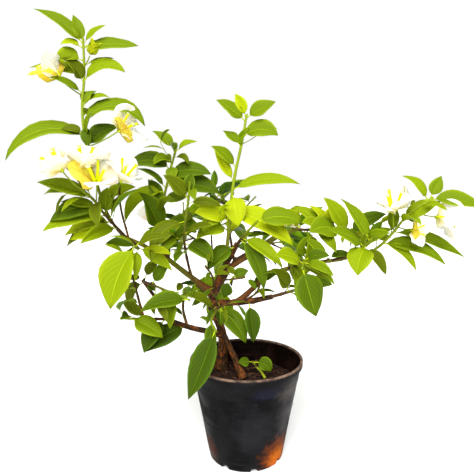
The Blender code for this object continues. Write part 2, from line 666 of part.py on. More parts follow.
def keep_main_shell(thing, weld):
    """Weld a fused mass, fill sealed hollows and drop loose scraps by keeping its largest shell.

    Returns True where every edge of what is left has exactly two faces.
    """
    work = bmesh.new()
    work.from_mesh(thing.data)
    bmesh.ops.remove_doubles(work, verts=work.verts[:], dist=weld)
    bmesh.ops.dissolve_limit(work, angle_limit=math.radians(FLAT_ANGLE), use_dissolve_boundaries=False,
                             verts=work.verts[:], edges=work.edges[:])
    bmesh.ops.triangulate(work, faces=work.faces[:])
    bmesh.ops.dissolve_degenerate(work, dist=weld, edges=work.edges[:])
    bmesh.ops.triangulate(work, faces=work.faces[:])
    work.normal_update()
    shells = shell_volumes(work)
    main = max(shells, key=lambda shell: shell[0])
    for shell in shells:
        if shell is not main:
            bmesh.ops.delete(work, geom=shell[1], context="FACES")
    closed = all(len(edge.link_faces) == 2 for edge in work.edges) and all(
        vertex.is_manifold for vertex in work.verts)
    work.to_mesh(thing.data)
    work.free()
    return closed


# ---- sub-parts ----------------------------------------------------------------------------------
def wall_radius(height):
    """Outside radius of the pot's wall at a height, without its ring."""
    slope = (BODY_TOP_RADIUS - BASE_RADIUS) / (POT_HEIGHT - LIP_HEIGHT - CORNER)
    return BASE_RADIUS + (height - CORNER) * slope


def make_pot(finish):
    """The pot: lip, wall with its ring, rounded corner, flat floor and drain notches."""
    under_lip = POT_HEIGHT - LIP_HEIGHT
    ring = POT_HEIGHT - RING_DROP
    corner_arc = [(BASE_RADIUS - CORNER + CORNER * math.sin(turn), CORNER - CORNER * math.cos(turn))
                  for turn in (0.0, math.pi / 6, math.pi / 3)]
    profile = [(0, 0), *corner_arc, (wall_radius(CORNER), CORNER),
               (wall_radius(ring), ring), (wall_radius(ring) + RING_STEP, ring + RING_RISE),
               (wall_radius(under_lip), under_lip), (RIM_RADIUS, under_lip + LIP_ROUND / 3),
               (RIM_RADIUS, POT_HEIGHT - LIP_ROUND), (RIM_RADIUS - LIP_ROUND, POT_HEIGHT),
               (RIM_RADIUS - LIP_EDGE + LIP_ROUND / 3, POT_HEIGHT),
               (RIM_RADIUS - LIP_EDGE, POT_HEIGHT - LIP_ROUND),
               (wall_radius(under_lip) - WALL, under_lip - WALL),
               (wall_radius(FLOOR) - WALL, FLOOR), (0, FLOOR)]
    pot = turned_object("pot", profile, POT_SEGMENTS, finish)
    for index in range(DRAIN_COUNT):
        turn = 2 * math.pi * (index + DRAIN_TURN) / DRAIN_COUNT
        bpy.ops.mesh.primitive_cylinder_add(vertices=DRAIN_SIDES, radius=DRAIN_RADIUS * MM,
                                            depth=4 * DRAIN_INSET * MM)
        cutter = bpy.context.object
        reach = (BASE_RADIUS + DRAIN_INSET) * MM
        cutter.location = (reach * math.cos(turn), reach * math.sin(turn), 0)
        cutter.rotation_euler = (0, math.pi / 2, turn)
        bpy.context.view_layer.update()
        cut(pot, cutter)
    return pot


def make_soil(finish):
    """The soil that fills the pot, flat round the stems and lower by the wall."""
    def inside(height):
        return wall_radius(height) - WALL - GAP

    bottom = FLOOR + GAP
    edge = SOIL_TOP - SOIL_EDGE_DROP
    profile = [(0, bottom), (inside(bottom) - 1, bottom), (inside(edge), edge),
               (inside(edge) - SOIL_SLOPE, SOIL_TOP), (0, SOIL_TOP)]
    return turned_object("soil", profile, SOIL_SEGMENTS, finish)


def make_limb(bush, limb, finish, swell=0.0):
    """One tapering limb, cut back to its parent's surface."""
    radii = [radius + swell for radius in bush.radii[limb.name]]
    rings = tube_sections(bush.curves[limb.name], radii, limb.sides, level_foot=not limb.parent)
    return solid_object(limb.name, *facets(rings), finish)


def seat_on(thing, bush, limb, finish):
    """Cut a limb or a mass back so that it stands a gap off the limb that bears it."""
    cut(thing, make_limb(bush, limb, finish, swell=GAP))


def make_mass(bush, mass, bough, finish):
    """One mass of foliage, joined by the exact solver, or by the other where that leaves a flaw."""
    for solver, weld in JOIN_TRIES:
        thing = join_mass(bush, mass, finish, solver)
        seat_on(thing, bush, bough, finish)
        if keep_main_shell(thing, weld):
            return thing
        bpy.data.objects.remove(thing)
    raise RuntimeError(mass.name + " is open or pinched")


def join_mass(bush, mass, finish, solver):
    """A mass's stem with every twig, leaf and bract joined on by one union."""
    trimmings = bpy.data.collections.new(mass.name + "_parts")
    bpy.context.scene.collection.children.link(trimmings)
    (points, radii), *twigs = bush.stems[mass.name]
    thing = solid_object(mass.name, *facets(tube_sections(points, radii, STEM_SIDES)), finish)
    for index, (points, radii) in enumerate(twigs):
        solid_object(f"twig_{index}", *facets(tube_sections(points, radii, STEM_SIDES)), finish, trimmings)
    for index, blade in enumerate(bush.blades[mass.name]):
        solid_object(f"blade_{index}", *facets(blade.sections(), blade.tip()), finish, trimmings)
    boolean = thing.modifiers.new("join", "BOOLEAN")
    boolean.operation, boolean.solver = "UNION", solver
    boolean.operand_type, boolean.collection = "COLLECTION", trimmings
    apply_modifiers(thing)
    for part in list(trimmings.objects):
        bpy.data.objects.remove(part)
    bpy.data.collections.remove(trimmings)
    return thing


def main():
    """Clear the scene and build every sub-part."""
    for thing in list(bpy.data.objects):
        bpy.data.objects.remove(thing)
    plastic = material("pot_plastic", (0.030, 0.033, 0.040), 0.55)
    earth = material("potting_soil", (0.035, 0.018, 0.014), 0.95)
    bark = material("bark", (0.22, 0.095, 0.035), 0.85)
    leaf_green = material("leaf_green", (0.16, 0.36, 0.01), 0.45)
    make_pot(plastic)
    make_soil(earth)
    bush = Bush().grow()
    limbs = {limb.name: limb for limb in LIMBS}
    for limb in LIMBS:
        wood = make_limb(bush, limb, bark)
        if limb.parent:
            seat_on(wood, bush, limbs[limb.parent], bark)
    seat_on(bpy.data.objects["front_stem"], bush, limbs["trunk"], bark)
    for mass in MASSES:
        make_mass(bush, mass, limbs[mass.bough], leaf_green)
    parts = list(bpy.data.objects)
    whole = bpy.data.objects.new("potted_bush", None)
    bpy.context.scene.collection.objects.link(whole)
    for part in parts:
        part.parent = whole


main()
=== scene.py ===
"""Looks of a small bougainvillea bush in its nursery pot.

Lengths are millimetres in every class and function until a mesh is written, where MM turns them
to metres.  +Z is up, -Y is the front, and the origin is the centre of the pot's flat underside.

The plant grows here by the same rule as its solids: limbs, then one stem to each mass of foliage,
then the listed leaves and blooms, then the leaves that the seeded rule adds.  Finer twigs
with small leaves come last, inside each mass's own space.
"""
import json
import logging
import random
from collections import defaultdict
from dataclasses import dataclass, field
from enum import Enum
from math import asin, atan2, cos, degrees, exp, hypot, pi, radians, sin, sqrt
from typing import Callable, Iterable, Sequence

import bmesh
import bpy
from bmesh.types import BMEdge, BMesh, BMVert
from bpy.types import Material, Object
from mathutils import Matrix, Vector, noise
from mathutils.bvhtree import BVHTree

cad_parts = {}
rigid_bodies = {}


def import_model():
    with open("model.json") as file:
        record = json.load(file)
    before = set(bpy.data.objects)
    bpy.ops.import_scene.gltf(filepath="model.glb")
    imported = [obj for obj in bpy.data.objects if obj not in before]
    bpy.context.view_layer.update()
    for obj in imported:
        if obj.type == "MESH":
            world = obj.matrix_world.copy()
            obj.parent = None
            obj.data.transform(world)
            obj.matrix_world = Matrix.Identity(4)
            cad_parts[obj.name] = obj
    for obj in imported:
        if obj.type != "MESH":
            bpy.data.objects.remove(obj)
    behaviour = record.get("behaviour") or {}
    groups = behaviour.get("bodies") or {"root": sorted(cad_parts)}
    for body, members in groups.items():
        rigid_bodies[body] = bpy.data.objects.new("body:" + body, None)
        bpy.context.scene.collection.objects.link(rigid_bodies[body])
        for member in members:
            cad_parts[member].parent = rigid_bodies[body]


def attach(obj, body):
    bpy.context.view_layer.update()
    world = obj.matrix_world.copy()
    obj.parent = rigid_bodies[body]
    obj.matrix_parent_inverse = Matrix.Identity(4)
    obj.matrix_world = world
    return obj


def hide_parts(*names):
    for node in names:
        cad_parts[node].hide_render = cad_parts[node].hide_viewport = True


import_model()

LOG = logging.getLogger("potted_bush")
MM = 0.001
IMAGE_WIDTH = 474  # pixels of the square picture that the camera is set for
LEAF_MAP = "across_and_along"  # of a blade
SKIN_MAP = "skin"  # of a limb or stem, in metres
GROWTH_MAP = "growth"  # of a stem, shares of its length
OF_COLOURS = {"output": 2, "data_type": "RGBA"}  # how a Mix node mixes colours

EYE = Vector((-12.35, -608.85, 375.9))  # where the camera stands

Points = list[Vector]
Shell = tuple[list[Vector], list[tuple[int, int, int]]]
Socket = bpy.types.NodeSocket
Input = float | Socket | str


# ---- colours and nodes ----
def linear(colour: str) -> tuple[float, float, float, float]:
    """Turn an sRGB hex colour to the linear values that shaders take.

    Args:
        colour: Six hex digits after a hash sign.

    Returns:
        Red, green, blue and an alpha of one.
    """
    channels = [int(colour[start:start + 2], 16) / 255 for start in (1, 3, 5)]
    red, green, blue = (c / 12.92 if c <= 0.04045 else ((c + 0.055) / 1.055) ** 2.4 for c in channels)
    return red, green, blue, 1.0


def add_node(tree: bpy.types.NodeTree, kind: str, inputs: dict | None = None,
             **properties: object) -> bpy.types.Node:
    """Add one node with its inputs.

    Args:
        tree: The node tree that takes the node.
        kind: The node's type name.
        inputs: Socket index or name to a plain value, a hex colour or the socket that feeds it.
        **properties: Properties of the node itself.

    Returns:
        The new node.
    """
    node = tree.nodes.new(kind)
    for name, value in properties.items():
        setattr(node, name, value)
    for name, value in (inputs or {}).items():
        if isinstance(value, bpy.types.NodeSocket):
            tree.links.new(value, node.inputs[name])
        else:
            node.inputs[name].default_value = linear(value) if isinstance(value, str) else value
    return node


# ---- the plant's tables ----
class Tone(Enum):
    """The leaf colours that sprays are dealt."""

    YOUNG = "young_leaf"
    LIME = "lime_leaf"
    FRESH = "fresh_leaf"
    OLIVE = "olive_leaf"
    MID = "mid_green_leaf"
    DEEP = "deep_green_leaf"


class Skin(Enum):
    """What a limb is clad in."""

    BARK = "bark"
    YOUNG = "ripening bark, green towards its tip"
    GREEN = "green skin"


class Face(Enum):
    """Which way the leaves of a mass turn their faces."""

    FRONT = "front"
    OUTWARD = "outward"


YOUNG, LIME, FRESH, OLIVE, MID, DEEP = Tone


@dataclass(frozen=True)
class Limb:
    """One tapering limb: where it leaves its parent, the points it passes, and its radii."""

    name: str
    parent: str
    at: float  # share of the parent's length where it starts
    guides: tuple
    radius: float
    tip_radius: float
    sides: int = 8  # of its solid
    skin: Skin = Skin.BARK


@dataclass(frozen=True)
class Leaf:
    """A listed leaf on a stem: share along it, reach, compass bearing, rise, droop, width."""

    at: float
    reach: float
    bearing: float
    rise: float
    droop: float
    width: float
    tone: Tone | None = None  # where it isn't dealt one of its mass's tones


@dataclass(frozen=True)
class Bloom:
    """A bloom of three papery bracts on a stalk."""

    at: float
    reach: float
    bearing: float
    rise: float
    turn: float = 0.0
    size: float = 1.0
    opening: float = 42.0  # of the bracts from the stalk, degrees
    aged: tuple = ()  # its bracts that have yellowed


@dataclass(frozen=True)
class Mass:
    """One mass of foliage: its stem, the space it keeps to, and how its rule fills that space."""

    name: str
    bough: str
    at: float
    guides: tuple
    radius: float
    space: float  # furthest a tip may lie from the stem
    leaf: float  # length of a usual leaf
    leaves: int  # leaves that the rule tries on the stem
    seed: int
    twigs: int = 0
    twig: float = 55.0  # length of a usual side twig
    twig_leaves: int = 5
    own: tuple = ()
    blooms: tuple = ()
    face: Face = Face.FRONT
    tones: tuple = (Tone.FRESH, Tone.MID, Tone.FRESH, Tone.DEEP)
    sprigs: int = 2  # fine twigs past those of the solid
    woody: bool = False  # dark bare twigs, and not green ones


def leaf_rows(*rows: tuple) -> tuple[Leaf, ...]:
    """Turn rows of numbers to leaves."""
    return tuple(Leaf(*row) for row in rows)


def bloom_rows(*rows: tuple) -> tuple[Bloom, ...]:
    """Turn rows of numbers to blooms."""
    return tuple(Bloom(*row) for row in rows)


def spur(name: str, bough: str, at: float, guides: tuple, radius: float = 1.1, space: float = 30,
         leaf: float = 20, leaves: int = 0, **others: object) -> Mass:
    """Make a bare twig with a few leaves, finer than the masses of foliage."""
    return Mass(name, bough, at, guides, radius, space, leaf, leaves, sprigs=0, woody=True, **others)


@dataclass(frozen=True)
class Opening:
    """An opening in the crown as seen from the camera, in the plane y = 0."""

    x: float
    z: float
    radius: float

    def hides(self, place: Vector) -> bool:
        """Tell whether something at a place would be seen in the opening."""
        seen = EYE + (place - EYE) * (EYE.y / (EYE.y - place.y))
        return hypot(seen.x - self.x, seen.z - self.z) < self.radius


@dataclass(frozen=True)
class PotSizes:
    """The pot and the soil in it."""

    rim_radius: float = 75.0  # outside of the lip
    height: float = 134.0
    body_top_radius: float = 72.0  # outside of the wall, under the lip
    base_radius: float = 50.0
    wall: float = 2.0
    floor: float = 2.5
    lip_height: float = 8.0
    lip_edge: float = 3.5
    corner: float = 4.0
    ring_drop: float = 26.0  # faint step round the wall, below the rim
    ring_step: float = 0.6
    ring_rise: float = 1.2
    drains: int = 8
    drain_radius: float = 5.0
    drain_reach: float = 6.0  # of each notch, in from the base's edge
    drain_turn: float = 0.25  # of the first notch from +X, in spaces between notches
    soil_drop: float = 28.0
    soil_edge_drop: float = 3.0
    soil_slope: float = 7.0
    gap: float = 0.35

    @property
    def soil_top(self) -> float:
        """Height of the soil round the stems."""
        return self.height - self.soil_drop

    def wall_radius(self, height: float) -> float:
        """Give the outside radius of the wall at a height, without its ring."""
        slope = ((self.body_top_radius - self.base_radius)
                 / (self.height - self.lip_height - self.corner))
        return self.base_radius + (height - self.corner) * slope


@dataclass(frozen=True)
class GrowthRule:
    """The numbers of the growth rule, as the plant's solids have them."""

    golden_angle: float = 137.5
    curve_steps: int = 14
    root_flare: float = 3.0
    flare_share: float = 0.10
    trunk_radius: float = 6.4
    stem_sides: int = 3
    stem_steps: int = 9
    stem_tip_radius: float = 1.6
    twig_radius: float = 1.6
    twig_tip_radius: float = 1.2
    twig_steps: int = 5
    stalk_root_width: float = 0.8
    stalk_width: float = 2.2
    stalk_length: float = 12.0
    stalk_steps: int = 3
    blade_thickness: float = 1.2
    keel_share: float = 0.7
    fold: float = 0.10
    blade_stations: tuple = ((0.22, 0.84), (0.52, 0.96), (0.78, 0.52))
    bract_stations: tuple = ((0.30, 0.95), (0.66, 0.86))
    bract_length: float = 40.0
    bract_width: float = 28.0
    bract_seat: float = 0.97
    bud_opening: float = 20.0  # degrees; a bloom that opens less is a closed bud
    bract_droop: float = 25.0
    bract_stalk: float = 4.0
    face_tilt: float = 45.0
    leaving_angle: float = 55.0
    leaving_spread: float = 12.0
    stem_leaf_zone: tuple = (0.12, 0.97)
    twig_leaf_zone: tuple = (0.25, 0.97)
    twig_zone: tuple = (0.30, 0.90)
    twig_root_clear: float = 0.12
    twig_droop: tuple = (-30, 10)  # degrees, least and most
    twig_reach: tuple = (0.8, 1.2)  # shares of a usual twig
    leaf_place: tuple = (0.2, 0.8)  # shares of the space that a leaf or sprig has on its stem
    leaf_reach: tuple = (0.85, 1.15)  # shares of a usual leaf
    leaf_droop: tuple = (25, 65)
    leaf_width: tuple = (0.44, 0.54)  # shares of its length
    seen_at: tuple = (0.3, 0.5, 0.7, 0.85, 1.0)  # where a leaf is tested against the openings
    swell: float = 1.0
    pot_clear: float = 4.0
    sprig_zone: tuple = (0.08, 0.95)  # shares of a stem between which its sprigs leave
    sprig: float = 34.0  # length of a usual sprig
    sprig_radius: float = 0.9
    sprig_leaves: int = 3
    sprig_droop: tuple = (-35, 15)
    sprig_reach: tuple = (0.7, 1.2)
    sprig_leaf: float = 26.0  # length of a usual small leaf
    sprig_stalk: float = 5.0
    small_reach: tuple = (0.7, 1.25)
    small_droop: tuple = (20, 70)
    small_width: tuple = (0.38, 0.50)
    sprig_seed: int = 1000  # added to the seed of a mass


RULE = GrowthRule()
POT = PotSizes()
TRUNK_FOOT = (-34, 32, POT.soil_top + POT.gap)
STEM_FOOT = (-4, -3, POT.soil_top + POT.gap)
SHOOT_FOOT = (25, -3, POT.soil_top + POT.gap)

LIMBS = (
    Limb("trunk", "", 0.0, (TRUNK_FOOT, (-33, 24, 160), (-47, 20, 201), (-36, 16, 238), (-12, 10, 286)),
         RULE.trunk_radius, 3.6, 10),
    Limb("front_stem", "", 0.0, (STEM_FOOT, (-15, 4, 130), (-30, 18, 160)), 5.0, 3.2),
    Limb("pot_shoot", "", 0.0, (SHOOT_FOOT, (20, -1, 114), (13, 1, 121)), 1.8, 1.4, 6, Skin.GREEN),
    Limb("right_low_bough", "trunk", 0.52, ((-2, 0, 210), (32, -20, 222)), 4.4, 3.2),
    Limb("right_mid_bough", "right_low_bough", 0.42, ((30, 6, 243), (77, 14, 257), (129, 20, 263)),
         3.6, 2.2, skin=Skin.YOUNG),
    Limb("right_high_bough", "trunk", 0.76, ((0, 20, 266), (41, 30, 291), (71, 40, 302)), 3.6, 2.4,
         skin=Skin.YOUNG),
    Limb("left_low_bough", "trunk", 0.27, ((-76, 10, 172), (-106, 0, 187)), 4.2, 2.8),
    Limb("left_mid_bough", "left_low_bough", 0.90, ((-120, 8, 212), (-139, 14, 236)), 2.7, 2.0, 6),
    Limb("left_high_bough", "trunk", 0.60, ((-76, 24, 239), (-111, 34, 264)), 4.2, 3.2,
         skin=Skin.YOUNG),
    Limb("left_reach_bough", "left_high_bough", 0.97, ((-137, 30, 279), (-167, 24, 295)), 3.0, 2.4, 6,
         Skin.YOUNG),
    Limb("back_bough", "trunk", 0.56, ((-30, 72, 228), (-14, 122, 246)), 4.0, 2.8),
)

MASSES = (
    Mass("left_leader", "left_reach_bough", 0.98,
         ((-186, 22, 327), (-206, 26, 395), (-216, 32, 452), (-213, 38, 505), (-214, 42, 553)),
         radius=2.3, space=120, leaf=42, leaves=6, seed=56, sprigs=0, tones=(YOUNG, LIME, LIME, FRESH),
         own=leaf_rows((0.97, 73, -170, 52, 35, 20, FRESH), (0.97, 44, 146, 73, 15, 14, FRESH),
             (0.97, 40, -14, 50, 34, 12, LIME), (0.96, 76, -9, 8, 20, 26, FRESH),
             (0.79, 68, -15, 54, 92, 22, LIME), (0.95, 30, -160, 36, 62, 16, YOUNG),
             (0.78, 43, -138, 70, 55, 23, OLIVE), (0.82, 80, 170, 27, 35, 20, LIME),
             (0.66, 30, 20, 66, 30, 20, FRESH), (0.59, 100, -8, 52, 112, 30, FRESH),
             (0.52, 119, -172, 30, 94, 30, FRESH), (0.58, 34, -50, -42, 50, 13, MID),
             (0.47, 50, 17, 54, 40, 25, MID), (0.95, 30, -10, 24, 45, 14, FRESH),
             (0.89, 38, -168, 24, 55, 22, LIME), (0.68, 40, -6, 42, 60, 12, LIME),
             (0.53, 32, -168, 42, 60, 15, OLIVE)),
         blooms=bloom_rows((0.72, 34, -159, 29, 60, 1.0, 30, (0, 1)), (0.86, 17, -25, 45, 20, 0.6, 17),
             (0.47, 50, -13, 16, 20, 1.0, 42, (1,)))),
    Mass("left_cluster", "left_reach_bough", 0.9, ((-182, 4, 323), (-193, -16, 347), (-210, -36, 367)),
         radius=2.1, space=95, leaf=46, leaves=6, seed=30, tones=(OLIVE, FRESH, MID, LIME),
         own=leaf_rows((0.69, 68, -171, 30, 25, 18, FRESH), (0.76, 62, 169, 22, 45, 20, FRESH),
             (0.52, 67, -173, 10, 50, 30, MID), (0.39, 82, -165, 8, 42, 28, LIME),
             (0.26, 72, 173, 8, 46, 23, YOUNG), (0.20, 60, -164, -6, 18, 27, YOUNG),
             (0.30, 78, 166, -6, 45, 23, OLIVE), (0.39, 41, -61, 82, 30, 19, FRESH)),
         blooms=bloom_rows((0.95, 21, -145, 40, 0, 1.05, 40), (0.83, 26, -60, 67, 60, 1.1, 38),
             (0.61, 32, -69, 41, 20, 1.1, 42, (1,)), (0.43, 53, -33, 44, 80, 1.1, 42))),
    # The big hanging leaf's lime tone is painted light: the sun shining through the leaf.
    Mass("left_hanging", "left_reach_bough", 0.8, ((-140, 0, 281), (-136, -44, 290)), radius=1.9,
         space=90, leaf=44, leaves=5, seed=52, tones=(LIME, LIME, YOUNG, OLIVE),
         own=leaf_rows((0.97, 82, -166, -58, 20, 42, LIME), (0.35, 47, 168, 20, 30, 13, MID))),
    Mass("left_centre", "left_high_bough", 0.9, ((-118, 38, 306), (-106, 42, 369), (-94, 46, 414)),
         radius=2.2, space=80, leaf=46, leaves=8, seed=54, tones=(FRESH, MID, OLIVE, FRESH),
         own=leaf_rows((0.97, 40, 180, 48, 20, 16, FRESH), (0.95, 35, -18, 34, 25, 15, LIME),
             (0.79, 62, -167, 52, 96, 25, MID), (0.74, 63, -15, 31, 58, 26, MID),
             (0.65, 77, -8, 18, 50, 31, MID), (0.49, 42, 154, 69, 25, 16, MID),
             (0.26, 64, -142, 77, 35, 28, MID), (0.22, 62, -25, 38, 40, 33, MID),
             (0.20, 37, -129, 21, 40, 16, FRESH), (0.60, 76, 178, 6, 85, 24, LIME),
             (0.86, 32, -140, 34, 84, 14, FRESH), (0.90, 30, -35, 14, 66, 12, OLIVE),
             (0.85, 28, -85, -48, 24, 15, FRESH))),
    Mass("left_inner", "left_high_bough", 0.45, ((-81, 4, 291), (-74, -6, 344), (-71, -12, 367)),
         radius=2.0, space=70, leaf=44, leaves=10, seed=8, tones=(FRESH, OLIVE, MID),
         own=leaf_rows((0.82, 46, -154, 62, 35, 19, OLIVE), (0.84, 34, 69, 86, 30, 14, MID),
             (0.61, 62, -155, -8, 60, 26, OLIVE), (0.38, 49, -28, -3, 45, 24, MID))),
    Mass("left_mid", "left_mid_bough", 0.95, ((-125, -8, 236), (-71, -30, 220)), radius=1.8, space=70,
         leaf=44, leaves=8, seed=5, tones=(OLIVE, FRESH, MID),
         own=leaf_rows((0.98, 62, -160, 6, 30, 21, MID), (0.02, 41, 166, -27, 50, 19, OLIVE),
             (0.34, 38, -14, 63, 30, 17, MID))),
    Mass("left_low", "left_low_bough", 0.98, ((-138, -14, 191), (-161, -24, 195)), radius=2.2, space=70,
         leaf=42, leaves=7, seed=7, tones=(OLIVE, FRESH, MID),
         own=leaf_rows((0.79, 51, -18, -9, 30, 23, FRESH), (0.04, 52, -132, -28, 35, 24, DEEP),
             (0.48, 39, 166, 44, 20, 13, OLIVE))),
    Mass("front_low", "trunk", 0.46, ((-37, -8, 204), (-44, -42, 198), (-37, -72, 194)), radius=2.0,
         space=90, leaf=42, leaves=4, seed=36, sprigs=0, tones=(MID, FRESH),
         own=leaf_rows((0.97, 86, -154, -66, 0, 27, DEEP), (0.28, 60, -24, -24, 45, 24, MID),
             (0.80, 20, -158, 59, 50, 5, MID))),
    Mass("centre_leader", "trunk", 0.82, ((-23, 8, 307), (-17, 4, 364), (-6, 6, 417), (0, 10, 452)),
         radius=2.6, space=90, leaf=44, leaves=6, seed=14, tones=(YOUNG, LIME, LIME, FRESH),
         own=leaf_rows((0.95, 46, -168, 47, 25, 22, FRESH), (0.97, 36, 150, 71, 15, 13, YOUNG),
             (0.97, 43, -12, 40, 25, 21, FRESH), (0.85, 50, -18, 42, 82, 24, FRESH),
             (0.79, 33, 157, 54, 30, 14, FRESH), (0.65, 44, -159, 56, 35, 17, FRESH),
             (0.51, 89, -9, 30, 50, 17, LIME), (0.56, 48, 178, 63, 8, 12, YOUNG),
             (0.48, 47, -70, -38, 42, 26, YOUNG), (0.37, 96, -22, -3, 45, 28, YOUNG),
             (0.30, 49, -165, 38, 45, 25, YOUNG), (0.25, 49, -152, 12, 50, 24, LIME))),
    Mass("centre_crown", "trunk", 0.97, ((-6, -12, 297), (13, -34, 320)), radius=2.0, space=85, leaf=46,
         leaves=3, seed=6, tones=(LIME, FRESH, LIME, YOUNG),
         own=leaf_rows((0.42, 64, -15, -21, 25, 18, LIME), (0.35, 74, -22, -33, 60, 19, MID),
             (0.03, 46, -165, -18, 42, 26, MID), (0.95, 60, 12, 24, 50, 26, FRESH))),
    Mass("right_high", "right_high_bough", 0.98, ((101, 34, 300), (142, 24, 295)), radius=2.0, space=85,
         leaf=46, leaves=8, seed=5, tones=(LIME, FRESH, LIME, YOUNG),
         own=leaf_rows((0.07, 41, -153, 56, 30, 19, LIME), (0.47, 55, 169, 66, 60, 19, LIME),
             (0.55, 42, 34, 75, 20, 17, YOUNG), (0.91, 62, -167, 70, 30, 23, LIME),
             (0.50, 45, -144, 43, 50, 22, LIME), (0.96, 61, 13, 47, 40, 19, MID),
             (0.79, 58, -147, 35, 60, 31, FRESH), (0.62, 48, 172, 80, 60, 15, YOUNG))),
    Mass("right_mid", "right_mid_bough", 0.9, ((142, 0, 276), (158, -14, 294)), radius=1.9, space=80,
         leaf=44, leaves=5, seed=22, tones=(LIME, FRESH, LIME),
         own=leaf_rows((0.94, 66, 170, 68, 25, 20, FRESH), (0.77, 62, -156, 44, 40, 24, FRESH),
             (0.83, 48, -120, -26, 40, 29, LIME), (0.73, 50, 8, -30, 34, 16, OLIVE),
             (0.62, 37, -139, 48, 30, 16, FRESH), (0.97, 31, -41, 75, 30, 12, MID))),
    Mass("right_tip", "right_mid_bough", 0.98,
         ((169, 22, 274), (192, 14, 298), (210, 8, 324), (239, 2, 347)), radius=2.1, space=115, leaf=46,
         leaves=7, seed=49, tones=(LIME, FRESH, YOUNG, LIME),
         own=leaf_rows((0.41, 89, -10, 8, 52, 21, FRESH), (0.56, 107, 5, -13, 14, 21, FRESH),
             (0.67, 54, -15, 45, 30, 19, LIME), (0.97, 63, -13, 5, 26, 22, FRESH),
             (0.95, 50, -171, 62, 44, 20, LIME), (0.97, 34, 20, 66, 10, 16, FRESH),
             (0.69, 32, 15, 4, 30, 13, FRESH)),
         blooms=bloom_rows((0.56, 31, -116, 52, 20, 1.1, 38), (0.61, 20, -50, -14, 60, 0.65, 40, (2,)),
             (0.79, 30, -12, -20, 90, 1.0, 36))),
    Mass("right_low", "right_low_bough", 0.97, ((57, -26, 231), (81, -30, 240)), radius=2.4, space=80,
         leaf=46, leaves=6, seed=52, tones=(FRESH, MID, OLIVE),
         own=leaf_rows((0.81, 37, 150, 72, 30, 16, OLIVE), (0.90, 33, -30, 29, 40, 14, MID),
             (0.46, 41, -157, 66, 30, 19, OLIVE))),
    Mass("right_hanging", "right_mid_bough", 0.52, ((70, -24, 270), (64, -60, 266)), radius=1.9,
         space=85, leaf=46, leaves=5, seed=45, tones=(MID, FRESH, OLIVE),
         own=leaf_rows((0.97, 60, -19, -70, 6, 34, MID), (0.80, 43, -153, 40, 44, 22, LIME),
             (0.70, 50, -16, -24, 40, 19, MID), (0.60, 34, -25, 34, 40, 15, MID))),
    Mass("pot_leaf", "pot_shoot", 0.90, ((9, 2, 127),), radius=1.4, space=60, leaf=30, leaves=0,
         seed=60, sprigs=0, tones=(MID, FRESH),
         own=leaf_rows((0.80, 22, -165, 25, 40, 13, MID), (0.85, 28, -15, 14, 72, 17, MID))),
    Mass("back_right", "back_bough", 0.97, ((30, 140, 268), (78, 150, 300)), radius=2.2, space=90,
         leaf=50, leaves=9, seed=25, sprigs=6, twigs=4, face=Face.OUTWARD,
         blooms=bloom_rows((0.85, 34, 70, 0, 0))),
    Mass("back_left", "back_bough", 0.80, ((-58, 130, 262), (-112, 128, 298)), radius=2.2, space=90,
         leaf=50, leaves=9, seed=16, sprigs=6, twigs=4, face=Face.OUTWARD,
         blooms=bloom_rows((0.95, 34, 150, 20, 30))),
    Mass("back_crown", "back_bough", 0.92, ((-26, 120, 300), (-34, 104, 350)), radius=2.2, space=85,
         leaf=48, leaves=10, seed=43, sprigs=7, twigs=4, face=Face.OUTWARD),
    Mass("back_low", "back_bough", 0.60, ((-40, 110, 196), (-46, 150, 190)), radius=2.0, space=75,
         leaf=46, leaves=8, seed=40, sprigs=5, twigs=2, face=Face.OUTWARD),
)

